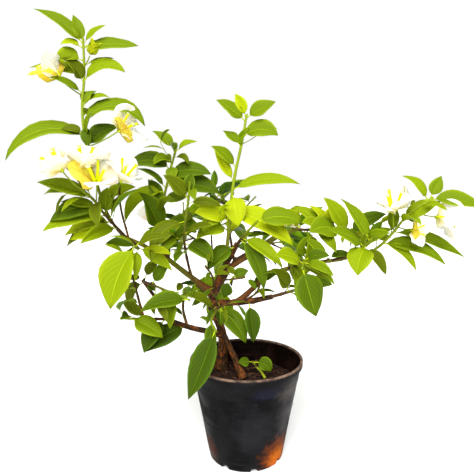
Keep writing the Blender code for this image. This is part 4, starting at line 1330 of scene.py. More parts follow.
@dataclass(frozen=True)
class StainAndPaintedLightSpot:
    """A soft-edged patch on the pot, dirt or painted light and shade: its middle and its half sizes, in
    millimetres.
    """

    middle: tuple
    reach: tuple
    colour: str
    grain: float  # mm, of its ragged edge
    strength: float
    firmness: float  # share of the reach over which its edge fades


@dataclass(frozen=True)
class PotFinish:
    """Moulded polypropylene gone dull outdoors: dust in level bands, splashes of soil, rust below,
    painted shade on the left side and painted light on the right.
    """

    name: str = "weathered_polypropylene"
    plastic: str = "#060607"
    dust: str = "#1B1B1D"
    rubbed: str = "#7A6252"  # the lip's edge
    band: float = 6.0  # mm, height of the dust's level streaks
    cloud: float = 30.0  # mm, patches of dust
    grit: str = "#6A5C4C"
    grit_every: float = 5.5  # mm
    stains_and_painted_light: tuple = (
        StainAndPaintedLightSpot((24, -64, 112), (24, 24, 10), "#16162A", 6.0, 0.6, 0.6),  # dry blue-grey smear
        StainAndPaintedLightSpot((-52, -44, 70), (34, 40, 70), "#030303", 14.0, 0.95, 0.8),  # painted shade: the pot's left side darkened
        StainAndPaintedLightSpot((56, -38, 104), (32, 34, 16), "#403A38", 7.0, 0.85, 0.8),  # grey-brown dust, and painted light on the pot's right side
        StainAndPaintedLightSpot((54, -42, 66), (20, 34, 38), "#3A3638", 6.0, 0.8, 0.85),  # grey scuffs below it, and painted light on the right side
        StainAndPaintedLightSpot((10, -60, 60), (34, 30, 40), "#1E1E21", 12.0, 0.6, 0.6),  # paler plastic
        StainAndPaintedLightSpot((44, -40, 16), (32, 36, 32), "#6E3208", 7.0, 0.95, 0.6),  # rust run
        StainAndPaintedLightSpot((42, -36, 9), (20, 26, 20), "#B05A0E", 5.0, 0.95, 0.7),  # its bright middle
        StainAndPaintedLightSpot((-48, -26, 20), (14, 30, 24), "#3A1C0E", 6.0, 0.85, 0.6),  # red soil by the foot
    )

    def build(self) -> Material:
        """Build the plastic with its dust, stained patches and patches of painted light and shade laid
        on from the bottom up.

        Returns:
            The material.
        """
        recipe = Recipe(self.name)
        body = recipe.node("TexCoord", output="Object")
        level = recipe.node("Mapping", body, named={"Scale": (0.16, 0.16, 1.0)})
        streaks = recipe.node("TexNoise", level, named={"Scale": per_mm(self.band), "Detail": 5.0})
        streak = recipe.node("MapRange", streaks, 0.50, 0.78, 0.0, 0.7)
        clouds = recipe.node("TexNoise", body, named={"Scale": per_mm(self.cloud), "Detail": 5.0})
        cloud = recipe.node("MapRange", clouds, 0.46, 0.74, 0.0, 0.9)
        dusty = recipe.node("Math", streak, cloud, operation="MAXIMUM")
        colour = recipe.node("Mix", dusty, named={6: self.plastic, 7: self.dust}, **OF_COLOURS)
        for marking in self.stains_and_painted_light:
            mask = self.patch(recipe, body, marking)
            colour = recipe.node("Mix", mask, named={6: colour, 7: marking.colour}, **OF_COLOURS)
        specks = recipe.node("TexVoronoi", body, named={"Scale": per_mm(self.grit_every)})
        grit = recipe.node("MapRange", specks, 0.04, 0.10, 0.4, 0.0)
        colour = recipe.node("Mix", grit, named={6: colour, 7: self.grit}, **OF_COLOURS)
        lip = self.lip(recipe, body)
        colour = recipe.node("Mix", lip, named={6: colour, 7: self.rubbed}, **OF_COLOURS)
        rough = recipe.node("MapRange", dusty, 0.0, 0.8, 0.40, 0.78)
        return recipe.finish(colour, rough, (streaks, 0.5, 0.25), ior=1.49, specular=0.04)

    @staticmethod
    def patch(recipe: Recipe, body: Socket, marking: StainAndPaintedLightSpot) -> Socket:
        """Give a soft-edged, ragged mask for one patch of dirt or of painted light and shade.

        Args:
            recipe: The pot's recipe.
            body: The place on the pot.
            marking: The patch.

        Returns:
            The mask.
        """
        centred = recipe.node("Mapping", body, named={
            "Location": [-at / half for at, half in zip(marking.middle, marking.reach)],
            "Scale": [per_mm(half) for half in marking.reach]})
        away = recipe.node("VectorMath", centred, output="Value", operation="LENGTH")
        edge = recipe.node("TexNoise", body, named={"Scale": per_mm(marking.grain), "Detail": 5.0})
        ragged = recipe.node("Math", edge, 0.9, operation="MULTIPLY")
        reach = recipe.node("Math", away, ragged, operation="ADD")
        return recipe.node("MapRange", reach, 1.35 - marking.firmness, 1.35 + marking.firmness * 0.3,
                           marking.strength, 0.0, interpolation_type="SMOOTHSTEP")

    @staticmethod
    def lip(recipe: Recipe, body: Socket) -> Socket:
        """Give the mask of the dust rubbed into the lip.

        Args:
            recipe: The pot's recipe.
            body: The place on the pot.

        Returns:
            The mask.
        """
        height = recipe.node("SeparateXYZ", body, output=2)
        high = recipe.node("MapRange", height, (POT.height - 3.0) * MM, (POT.height - 1.2) * MM)
        wear = recipe.node("TexNoise", body, named={"Scale": per_mm(10.0), "Detail": 4.0})
        worn = recipe.node("MapRange", wear, 0.32, 0.62, 0.15, 0.95)
        return recipe.node("Math", high, worn, operation="MULTIPLY")


@dataclass(frozen=True)
class EarthFinish:
    """Moist potting soil: near black, with redder crumbs where it has dried."""

    name: str
    wet: str
    dry: str
    crumb: float = 2.5  # mm
    roughness: float = 0.9

    def build(self) -> Material:
        """Build the soil from two scales of crumbs.

        Returns:
            The material.
        """
        recipe = Recipe(self.name)
        body = recipe.node("TexCoord", output="Object")
        drying = recipe.node("TexNoise", body, named={"Scale": per_mm(self.crumb * 3), "Detail": 8.0})
        dried = recipe.node("MapRange", drying, 0.45, 0.7)
        crumbs = recipe.node("TexVoronoi", body, named={"Scale": per_mm(self.crumb)})
        sunk = recipe.node("Math", crumbs, -1.0, operation="MULTIPLY")
        colour = recipe.node("Mix", dried, named={6: self.wet, 7: self.dry}, **OF_COLOURS)
        return recipe.finish(colour, self.roughness, (sunk, 1.0, 0.8), specular=0.2)


@dataclass(frozen=True)
class StudioFinish:
    """Plain matt studio paper for the floor."""

    name: str = "matt_studio_paper"
    colour: str = "#F8F8F7"

    def build(self) -> Material:
        """Build the paper, plain and matt."""
        return Recipe(self.name).finish(self.colour, 0.9, specular=0.1)


# ---- modelling ----
def as_mesh(name: str, work: BMesh) -> bpy.types.Mesh:
    """Write a mesh out and free its bmesh.

    Args:
        name: The mesh's name.
        work: The bmesh.

    Returns:
        The mesh.
    """
    mesh = bpy.data.meshes.new(name)
    work.to_mesh(mesh)
    work.free()
    return mesh


def placed(name: str, data: bpy.types.ID) -> Object:
    """Put a mesh, light or camera into the scene as an object.

    Args:
        name: The object's name.
        data: What it shows.

    Returns:
        The object.
    """
    thing = bpy.data.objects.new(name, data)
    bpy.context.scene.collection.objects.link(thing)
    return thing


def finished(name: str, work: BMesh, materials: Iterable[Material],
             nodes: Sequence[str], smooth: bool = True) -> Object:
    """Write a millimetre mesh as a finished piece of the plant.

    Args:
        name: The piece's name.
        work: Its mesh, which is freed.
        materials: Its finishes, in slot order.
        nodes: The solids that it stands for.
        smooth: True for smooth shading.

    Returns:
        The object, at the origin, riding on the one body.
    """
    bmesh.ops.scale(work, vec=(MM, MM, MM), verts=work.verts[:])
    for face in work.faces:
        face.smooth = smooth
    mesh = as_mesh(name, work)
    for material in materials:
        mesh.materials.append(material)
    piece = placed(name, mesh)
    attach(piece, "root")
    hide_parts(*nodes)
    LOG.info("%s: %d faces", name, len(mesh.polygons))
    return piece


def add_solidify(piece: Object, thickness: float) -> None:
    """Give a sheet its thickness in millimetres, with its second finish on the under face."""
    wall = piece.modifiers.new("blade_thickness", "SOLIDIFY")
    wall.thickness, wall.offset, wall.material_offset = thickness * MM, -1.0, 1


@dataclass(frozen=True)
class Sweep:
    """A tube drawn along a polyline by extruding a ring from point to point."""

    points: Points
    radii: Sequence[float]
    sides: int
    relief: Callable[[float, float, float], float] | None = None  # of turn, run and radius, mm

    def draw(self) -> BMesh:
        """Draw the tube with its skin map and its growth map.

        Returns:
            The closed mesh.
        """
        work = bmesh.new()
        turn_of = work.verts.layers.float.new("turn")
        run_of = work.verts.layers.float.new("run")
        ring = bmesh.ops.create_circle(work, segments=self.sides, radius=1.0, cap_ends=True)["verts"]
        for vert in ring:
            vert[turn_of] = atan2(vert.co.y, vert.co.x) / (2 * pi) % 1.0
        edges = [edge for edge in work.edges if len(edge.link_faces) == 1]
        run = 0.0
        frames = carried_frames(self.points)
        for index, (point, frame_here, radius) in enumerate(zip(self.points, frames, self.radii)):
            if index:
                run += (point - self.points[index - 1]).length
                grown = bmesh.ops.extrude_edge_only(work, edges=edges)["geom"]
                ring = [part for part in grown if isinstance(part, BMVert)]
                fresh = set(ring)
                edges = [part for part in grown if isinstance(part, BMEdge)
                         and part.verts[0] in fresh and part.verts[1] in fresh]
            for vert in ring:
                vert[run_of] = run
                turn = vert[turn_of]
                out = self.relief(turn, run, radius) if self.relief else 0.0
                spread = Vector((cos(2 * pi * turn), sin(2 * pi * turn), 0.0))
                vert.co = point + frame_here @ spread * (radius + out)
        bmesh.ops.contextual_create(work, geom=edges)
        bmesh.ops.recalc_face_normals(work, faces=work.faces[:])
        self.map_skin(work, turn_of, run_of, run)
        return work

    def map_skin(self, work: BMesh, turn_of: object, run_of: object, length: float) -> None:
        """Write the skin map and the growth map from each corner's turn and run.

        Args:
            work: The tube.
            turn_of: The layer of each corner's turn.
            run_of: The layer of its run.
            length: The whole run.
        """
        skin = work.loops.layers.uv.new(SKIN_MAP)
        growth = work.loops.layers.uv.new(GROWTH_MAP)
        girth = 2 * pi * sum(self.radii) / len(self.radii)
        for face in work.faces:
            turns = [loop.vert[turn_of] for loop in face.loops]
            wraps = max(turns) - min(turns) > 0.5
            for loop, turn in zip(face.loops, turns):
                around = turn + 1.0 if wraps and turn < 0.5 else turn
                loop[skin].uv = (around * girth * MM, loop.vert[run_of] * MM)
                loop[growth].uv = (loop.vert[run_of] / length, 0.0)


def gather(parts: Iterable[BMesh]) -> BMesh:
    """Join many small meshes into one, freeing each.

    Args:
        parts: The meshes.

    Returns:
        The joined mesh.
    """
    whole = bmesh.new()
    carrier = bpy.data.meshes.new("carrier")
    for part in parts:
        part.to_mesh(carrier)
        part.free()
        whole.from_mesh(carrier, face_normals=False, vertex_normals=False)
    bpy.data.meshes.remove(carrier)
    return whole


@dataclass(frozen=True)
class Habit:
    """How one blade differs from the next, each share from -1 to 1."""

    sway: float
    roll: float
    twist: float
    fold: float
    phase: float


@dataclass(frozen=True)
class BladeForm:
    """How a leaf or a bract is cut and shaped; shares are of its half width unless told."""

    columns: int = 4  # of faces across, an even count, so that a seam lies on the rib
    rows: int = 9
    foot: float = 0.70  # lower is a broader foot
    tip: float = 1.08  # higher is a longer, finer tip
    slim: float = 1.12  # share of the solid leaf's width
    stalk: float = 0.55  # share of the solid leaf's stalk
    roll: float = 8.0  # degrees that a blade may turn about its rib
    fold: float = 0.48  # how far the halves lift from the rib
    curl: float = 0.16  # how far the margins turn down again
    wave: float = 0.07  # of the margin
    waves: float = 1.6  # along the blade
    sway: float = 0.12  # of the rib from side to side
    twist: float = 22.0  # degrees, from foot to tip
    thickness: float = 0.35  # mm

    def template(self) -> bpy.types.Mesh:
        """Make the flat blade: a grid closed to a point at its tip.

        Returns:
            The mesh.
        """
        work = bmesh.new()
        leaf_map = work.loops.layers.uv.new(LEAF_MAP)
        bmesh.ops.create_grid(work, x_segments=self.columns, y_segments=self.rows, size=1.0)
        for vert in work.verts:
            vert.co.y = (vert.co.y + 1) / 2
        for face in work.faces:
            for loop in face.loops:
                loop[leaf_map].uv = ((loop.vert.co.x + 1) / 2, loop.vert.co.y)
        bmesh.ops.pointmerge(work, verts=[v for v in work.verts if v.co.y > 0.999], merge_co=(0, 1, 0))
        for edge in work.edges:
            edge.smooth = max(abs(vert.co.x) for vert in edge.verts) > 0.001
        return as_mesh("blade_template", work)

    def half_width(self, share: float) -> float:
        """Give the outline's half width, as a share of its widest.

        Args:
            share: From 0 at the foot to 1 at the tip.

        Returns:
            The half width.
        """
        widest = self.foot / (self.foot + self.tip)
        peak = widest ** self.foot * (1 - widest) ** self.tip
        return share ** self.foot * (1 - share) ** self.tip / peak

    def place(self, blade: Blade, across: float, share: float, habit: Habit) -> Vector:
        """Give a point of the finished blade.

        Args:
            blade: The leaf or bract as it grew.
            across: From -1 at one margin to 1 at the other.
            share: From 0 at the blade's foot to 1 at its tip.
            habit: How this blade differs from the next.

        Returns:
            The point, in millimetres.
        """
        bare = blade.stalk_share * self.stalk
        point, forward, side, top = blade.axes(bare + (1 - bare) * share)
        roll = self.roll * habit.roll + self.twist * habit.twist * share
        turn = Matrix.Rotation(radians(roll), 3, forward)
        side, top = turn @ side, turn @ top
        full = blade.width / 2 * self.slim
        half = full * max(self.half_width(share), 0.05 if share < 0.5 else 0.0)
        fold = self.fold * (1 + 0.5 * habit.fold)
        lift = half * (fold * abs(across) - self.curl * abs(across) ** 3)
        wave = full * self.wave * across ** 2 * sin(
            2 * pi * (self.waves * share + habit.phase) + 1.3 * across)
        bend = full * self.sway * habit.sway * sin(pi * share)
        return point + side * (half * across + bend) + top * (lift + wave * sin(pi * share))

    def cut(self, blades: Sequence[Blade], seed: int) -> BMesh:
        """Cut and shape many blades into one mesh.

        Args:
            blades: The leaves or bracts.
            seed: For what sets each apart.

        Returns:
            The open sheets, faces looking to the light.
        """
        chance = random.Random(seed)
        flat = self.template()
        whole = bmesh.new()
        for blade in blades:
            start = len(whole.verts)
            whole.from_mesh(flat, face_normals=False, vertex_normals=False)
            whole.verts.ensure_lookup_table()
            habit = Habit(*(chance.uniform(-1, 1) for _ in range(5)))
            for vert in whole.verts[start:]:
                vert.co = self.place(blade, vert.co.x, vert.co.y, habit)
        bpy.data.meshes.remove(flat)
        return whole


# ---- sub-assemblies ----
def draw_section(work: BMesh, section: Sequence) -> list[BMEdge]:
    """Draw a section, in pairs of radius and height, and give its edges in order."""
    rail = [work.verts.new((radius, 0, height)) for radius, height in section]
    return [work.edges.new(pair) for pair in zip(rail, rail[1:])]


def spin_round(work: BMesh, segments: int) -> None:
    """Spin a section once round the upright axis, and weld its seam and its ends."""
    bmesh.ops.spin(work, geom=work.verts[:] + work.edges[:], cent=(0, 0, 0), axis=(0, 0, 1),
                   angle=2 * pi, steps=segments, use_merge=True)
    bmesh.ops.remove_doubles(work, verts=work.verts[:], dist=1e-3)


@dataclass
class Pot:
    """The thin-walled nursery pot, with its rolled lip, faint ring and notched foot."""

    sizes: PotSizes = POT
    segments: int = 144
    wall_rows: int = 26
    warp: float = 0.5  # mm that the lip is out of round
    dent: float = 0.35  # mm of hollows in the wall
    finish: PotFinish = PotFinish()
    inside: PotFinish = PotFinish("soil_stained_polypropylene", "#0A0503", "#26140E", stains_and_painted_light=())

    def profile(self) -> list[tuple[float, float]]:
        """Give the wall's section from the middle of the underside to the middle of the floor.

        Returns:
            Pairs of radius and height.
        """
        sizes = self.sizes
        under_lip, ring = sizes.height - sizes.lip_height, sizes.height - sizes.ring_drop
        turns = [radians(tilt) for tilt in range(0, 76, 15)]
        corner = [(sizes.base_radius - sizes.corner * (1 - sin(turn)),
                   sizes.corner * (1 - cos(turn))) for turn in turns]
        roll = sizes.lip_edge / 2
        top = sizes.height - roll
        lip = [(sizes.rim_radius - roll + roll * cos(turn), top + roll * sin(turn))
               for turn in (radians(tilt) for tilt in range(0, 181, 20))]
        floor_corner = sizes.wall_radius(sizes.floor + 2) - sizes.wall
        return [(0, 0), *corner, (sizes.wall_radius(sizes.corner + 1), sizes.corner + 1),
                (sizes.wall_radius(ring), ring),
                (sizes.wall_radius(ring) + sizes.ring_step, ring + sizes.ring_rise),
                (sizes.wall_radius(under_lip), under_lip), (sizes.rim_radius - 0.4, under_lip + 0.5),
                *lip, (sizes.wall_radius(under_lip) - sizes.wall, under_lip - 2),
                (floor_corner, sizes.floor + 2), (floor_corner - 2, sizes.floor), (0, sizes.floor)]

    def build(self) -> None:
        """Spin the section, notch and warp the wall, and dress it."""
        work = bmesh.new()
        for edge in draw_section(work, self.profile()):
            length = edge.calc_length()
            steep = abs(edge.verts[0].co.z - edge.verts[1].co.z) > 20
            if steep:
                cuts = max(1, round(self.wall_rows * length / self.sizes.height))
                bmesh.ops.subdivide_edges(work, edges=[edge], cuts=cuts)
        inner = [edge for edge in work.edges
                 if edge.calc_length() > 40 and min(vert.co.x for vert in edge.verts) == 0]
        bmesh.ops.subdivide_edges(work, edges=inner, cuts=9)
        spin_round(work, self.segments)
        for vert in work.verts:
            self.notch(vert)
            self.warp_wall(vert)
        bmesh.ops.recalc_face_normals(work, faces=work.faces[:])
        for face in work.faces:
            middle = face.calc_center_median()
            inward = middle.xy.dot(face.normal.xy) < 0 or middle.z > self.sizes.floor
            mid_wall = self.sizes.wall_radius(middle.z) - self.sizes.wall / 2
            low = middle.z < self.sizes.height - 4
            face.material_index = int(inward and low and middle.xy.length < mid_wall)
        finished("nursery_pot", work, [self.finish.build(), self.inside.build()],
                 ["pot"])

    def notch(self, vert: BMVert) -> None:
        """Lift the foot over each drain notch.

        Args:
            vert: A corner of the wall or base.
        """
        sizes = self.sizes
        radius = hypot(vert.co.x, vert.co.y)
        inner = sizes.base_radius - sizes.drain_reach
        if radius < inner - 1 or vert.co.z > sizes.drain_radius + 4:
            return
        place = atan2(vert.co.y, vert.co.x) / (2 * pi) * sizes.drains - sizes.drain_turn
        off = (place - round(place)) / sizes.drains * 2 * pi * sizes.base_radius
        arch = sqrt(max(0.0, sizes.drain_radius ** 2 - off ** 2))
        arch *= min(1.0, max(0.0, (radius - inner + 1) / 2))
        above = vert.co.z / (sizes.drain_radius + 4)
        vert.co.z += arch * (1 - above)

    def warp_wall(self, vert: BMVert) -> None:
        """Pull the lip a little out of round and dent the wall.

        Args:
            vert: A corner of the wall.
        """
        height = vert.co.z / self.sizes.height
        turn = atan2(vert.co.y, vert.co.x)
        out = self.warp * height ** 3 * sin(2 * turn + 0.6)
        out += self.dent * noise.noise(vert.co * 0.03) * min(1.0, height * 3) * (height < 0.93)
        outward = Vector((cos(turn), sin(turn), 0))
        vert.co += outward * out * (hypot(vert.co.x, vert.co.y) > self.sizes.base_radius * 0.8)


@dataclass
class Soil:
    """The moist soil: a crumbly top, loose crumbs, bits of bark and root, and pale specks."""

    sizes: PotSizes = POT
    segments: int = 132
    rows: int = 38
    lump: float = 2.2  # mm of relief
    crumbs: int = 520
    specks: int = 46
    litter: int = 54
    seed: int = 7
    clear_wall: float = 3.0  # mm that loose bits keep from the wall

    def inside(self, height: float) -> float:
        """Give the soil's radius at a height."""
        return self.sizes.wall_radius(height) - self.sizes.wall - self.sizes.gap

    def level(self, x: float, y: float) -> float:
        """Give the height of the soil's top at a place.

        Args:
            x: Right of the pot's axis.
            y: Behind it.

        Returns:
            The height, in millimetres.
        """
        edge = self.inside(self.sizes.soil_top)
        from_wall = max(0.0, edge - hypot(x, y))
        sunk = self.sizes.soil_edge_drop * max(0.0, 1 - from_wall / self.sizes.soil_slope)
        rough = noise.noise(Vector((x, y, 3.0)) * 0.07) + 0.6 * noise.noise(Vector((x, y, 9.0)) * 0.22)
        rough += 0.35 * noise.noise(Vector((x, y, 5.0)) * 0.6)
        return self.sizes.soil_top - sunk + self.lump * (rough - 0.35)

    def build(self) -> None:
        """Build the soil and what lies on it."""
        work = bmesh.new()
        bottom = self.sizes.floor + self.sizes.gap
        edge = self.sizes.soil_top - self.sizes.soil_edge_drop
        section = [(0, bottom), (self.inside(bottom) - 1, bottom), (self.inside(edge), edge), (0, edge)]
        top = draw_section(work, section)[2]
        bmesh.ops.subdivide_edges(work, edges=[top], cuts=self.rows)
        spin_round(work, self.segments)
        for vert in work.verts:
            if vert.co.z > edge - 1:
                vert.co.z = self.level(vert.co.x, vert.co.y)
        bmesh.ops.recalc_face_normals(work, faces=work.faces[:])
        earth = EarthFinish("moist_potting_soil", "#150904", "#3C2012").build()
        finished("soil_bed", work, [earth], ["soil"])
        chance = random.Random(self.seed)
        crumb = EarthFinish("loose_soil_crumbs", "#1E1008", "#4C2C1A").build()
        pale = EarthFinish("pale_grit", "#8A7F72", "#C9C2B4", roughness=0.8).build()
        chip = EarthFinish("bark_and_root_bits", "#4A2818", "#8A6446", roughness=0.85).build()
        finished("soil_crumbs", gather(self.grain(chance, 0.7, 2.2) for _ in range(self.crumbs)),
                 [crumb], ["soil"], smooth=False)
        finished("soil_grit", gather(self.grain(chance, 0.4, 0.9) for _ in range(self.specks)),
                 [pale], ["soil"], smooth=False)
        finished("soil_litter", gather(self.chip(chance) for _ in range(self.litter)),
                 [chip], ["soil"])

    def spot(self, chance: random.Random) -> Vector:
        """Give a place on the soil, clear of the wall.

        Args:
            chance: The soil's random numbers.

        Returns:
            The place.
        """
        reach = (self.inside(self.sizes.soil_top) - self.clear_wall) * sqrt(chance.random())
        turn = chance.uniform(0, 2 * pi)
        x, y = reach * cos(turn), reach * sin(turn)
        return Vector((x, y, self.level(x, y)))

    def grain(self, chance: random.Random, small: float, large: float) -> BMesh:
        """Make one irregular crumb between two radii, half sunk in the soil.

        Args:
            chance: The soil's random numbers.
            small: The least radius.
            large: The greatest.

        Returns:
            The crumb.
        """
        work = bmesh.new()
        bmesh.ops.create_icosphere(work, subdivisions=1, radius=1.0)
        size = small + (large - small) * chance.random() ** 2
        squash = Vector((chance.uniform(0.7, 1.3), chance.uniform(0.7, 1.3), chance.uniform(0.5, 0.9)))
        shift = chance.uniform(0, 50)
        spot = self.spot(chance)
        for vert in work.verts:
            rough = 1 + 0.35 * noise.noise(vert.co * 1.7 + Vector((shift, 0, 0)))
            vert.co = spot + vert.co * squash * size * rough + Vector((0, 0, size * 0.25))
        return work

    def chip(self, chance: random.Random) -> BMesh:
        """Make one bent bit of bark or root lying on the soil.

        Args:
            chance: The soil's random numbers.

        Returns:
            The bit.
        """
        spot = self.spot(chance)
        turn, length = chance.uniform(0, 2 * pi), chance.uniform(3, 13)
        radius = chance.uniform(0.25, 0.9)
        step = Vector((cos(turn), sin(turn), 0)) * length / 4
        points = []
        limit = self.inside(self.sizes.soil_top) - self.clear_wall
        for index in range(5):
            point = spot + step * index + Vector((0, 0, radius * 0.8))
            point += Vector((chance.uniform(-0.6, 0.6), chance.uniform(-0.6, 0.6),
                             chance.uniform(0, 0.8)))
            flat = hypot(point.x, point.y)
            if flat > limit:
                point.x, point.y = point.x * limit / flat, point.y * limit / flat
            point.z = max(point.z, self.level(point.x, point.y) + radius * 0.4)
            points.append(point)
        return Sweep(points, [radius * share for share in (0.6, 1.0, 1.1, 0.9, 0.5)], 5).draw()


@dataclass
class Limbs:
    """Trunk, side stem, boughs and the shoot by the pot's rim, with their relief."""

    bush: Bush
    sides: int = 26
    steps: int = 84
    ridge: float = 0.10  # depth of the bark's ridges, share of the radius
    knot: float = 0.16  # height of the swellings, share of the radius
    collar: float = 0.45  # swelling where a bough leaves its parent, share of its radius
    collar_run: float = 7.0  # mm over which the collar dies away
    bark: BarkFinish = BarkFinish()
    young: ShootFinish = ShootFinish("ripening_bark", "#5A3410", "#646410", 0.4, 0.7)
    shoot: ShootFinish = ShootFinish("young_shoot", "#6C6A10", "#8C981C", 0.0)

    def build(self) -> None:
        """Build one piece to each limb."""
        bark, young, shoot = self.bark.build(), self.young.build(), self.shoot.build()
        for index, limb in enumerate(LIMBS):
            points = smooth_curve(self.bush.limb_guides[limb.name], self.steps)
            radii = [limb_radius(limb, step / self.steps) for step in range(self.steps + 1)]
            if limb.parent:
                radii = self.collared(points, radii)
            relief = None if limb.skin is Skin.GREEN else self.relief(index)
            work = Sweep(points, radii, self.sides, relief).draw()
            skin = {Skin.BARK: bark, Skin.YOUNG: young, Skin.GREEN: shoot}[limb.skin]
            finished(f"{limb.name}_skin", work, [skin], [limb.name])

    def collared(self, points: Points, radii: list[float]) -> list[float]:
        """Swell a bough's root where it leaves its parent.

        Args:
            points: The bough's centre line.
            radii: Its radii.

        Returns:
            The swollen radii.
        """
        run, swollen = 0.0, []
        for index, radius in enumerate(radii):
            run += (points[index] - points[index - 1]).length if index else 0.0
            swollen.append(radius * (1 + self.collar * exp(-run / self.collar_run)))
        return swollen

    def relief(self, number: int) -> Callable[[float, float, float], float]:
        """Give the bark's relief for one limb.

        Args:
            number: The limb's place in the table, which shifts its pattern.

        Returns:
            A function of turn, run and radius that gives the height in millimetres.
        """
        shift = Vector((17.0 * number, 5.0 * number, 0.0))

        def height(turn: float, run: float, radius: float) -> float:
            """Give ridges drawn out along the limb, knots where twigs stood, and fine grain.

            Args:
                turn: Share of a turn round the limb.
                run: Millimetres along it.
                radius: Of the limb there.

            Returns:
                The height, in millimetres.
            """
            round_it = Vector((cos(2 * pi * turn), sin(2 * pi * turn), 0.0))
            ridges = noise.noise(round_it * 2.6 + Vector((0, 0, run * 0.05)) + shift)
            grain = noise.noise(round_it * 6.0 + Vector((0, 0, run * 0.16)) + shift)
            knots = noise.noise(round_it * 0.9 + Vector((0, 0, run * 0.09)) - shift)
            return radius * (self.ridge * (ridges + 0.5 * grain) + self.knot * max(0.0, knots) ** 2 * 3)

        return height


@dataclass
class Twigs:
    """Stems, side twigs, sprigs, bloom stalks and leaf stalks."""

    bush: Bush
    sides: int = 7
    sprig_sides: int = 5
    stalk_sides: int = 4
    stalk_radius: float = 0.85  # of a leaf's stalk
    stalk_taper: tuple = (1.25, 1.0, 0.9, 0.8)
    broad_leaf: float = 18.0  # mm; a narrower leaf has a finer stalk
    fine_share: float = 0.75  # of the radius that a sprig or bloom stalk grew with
    stem_share: float = 0.95  # of its solid's radius
    joint: float = 0.22  # swelling at each leaf joint, share of the radius
    joint_every: float = 15.0  # mm
    stem_steps: int = 40
    leading: tuple = ("left_leader", "centre_leader", "right_tip")  # green almost to the foot

    def build(self) -> None:
        """Build stems, sprigs and leaf stalks, each kind as one piece."""
        nodes = [mass.name for mass in MASSES]
        soft = ShootFinish("green_stem", "#52460A", "#7A8A0C", 0.2)
        corky = ShootFinish("corky_stem", "#42290A", "#6A7A0A", 0.55)
        for name, skin, leading in (("leading_stems", soft, True), ("stems", corky, False)):
            stems = [self.draw_stem(wood) for mass in MASSES if (mass.name in self.leading) == leading
                     for wood in self.bush.woods[mass.name] if wood.kind in ("stem", "twig")]
            finished(name, gather(stems), [skin.build()], nodes)
        spurs = [self.draw_stem(wood) for mass in SPURS for wood in self.bush.woods[mass.name]]
        dark = ShootFinish("bare_brown_twig", "#7A3E14", "#4A3A10", 0.1, 0.8).build()
        finished("bare_twigs", gather(spurs), [dark], ["left_low_bough"])
        fine = [self.draw_fine(wood) for mass in MASSES for wood in self.bush.woods[mass.name]
                if wood.kind in ("sprig", "stalk")]
        green = ShootFinish("green_twig", "#56600A", "#7E900A", 0.1).build()
        finished("sprigs", gather(fine), [green], nodes)
        leaves = [blade for mass in GROWN for blade in
                  (*self.bush.blades[mass.name], *self.bush.small[mass.name])]
        stalk = ShootFinish("leaf_stalk", "#8A980A", "#A8B60A", 0.1).build()
        stalks = gather(self.draw_stalk(blade) for blade in leaves)
        finished("leaf_stalks", stalks, [stalk], nodes)

    def draw_stem(self, wood: Wood) -> BMesh:
        """Draw a jointed stem, smoothed from its solid's polyline.

        Args:
            wood: The stem.

        Returns:
            Its mesh.
        """
        points = smooth_curve(wood.points, self.stem_steps)
        radii = []
        run = 0.0
        for step, point in enumerate(points):
            run += (point - points[step - 1]).length if step else 0.0
            radius = wood.radius + (wood.tip_radius - wood.radius) * step / self.stem_steps
            beat = abs((run / self.joint_every) % 1.0 - 0.5) * 2
            radii.append(radius * self.stem_share * (1 + self.joint * max(0.0, beat - 0.75) * 4))
        return Sweep(points, radii, self.sides).draw()

    def draw_fine(self, wood: Wood) -> BMesh:
        """Draw a fine twig or a bloom's stalk.

        Args:
            wood: The twig or stalk.

        Returns:
            Its mesh.
        """
        last = len(wood.points) - 1
        radii = [self.fine_share * (wood.radius + (wood.tip_radius - wood.radius) * step / last)
                 for step in range(last + 1)]
        return Sweep(wood.points, radii, self.sprig_sides).draw()

    def draw_stalk(self, blade: Blade) -> BMesh:
        """Draw a leaf's stalk from its stem to the foot of its blade.

        Args:
            blade: The leaf.

        Returns:
            Its mesh.
        """
        end = blade.stalk_share * 0.55 + 0.04
        points = [blade.arc.point(end * step / 3) for step in range(4)]
        radius = self.stalk_radius * min(1.0, blade.width / self.broad_leaf)
        return Sweep(points, [radius * share for share in self.stalk_taper], self.stalk_sides).draw()


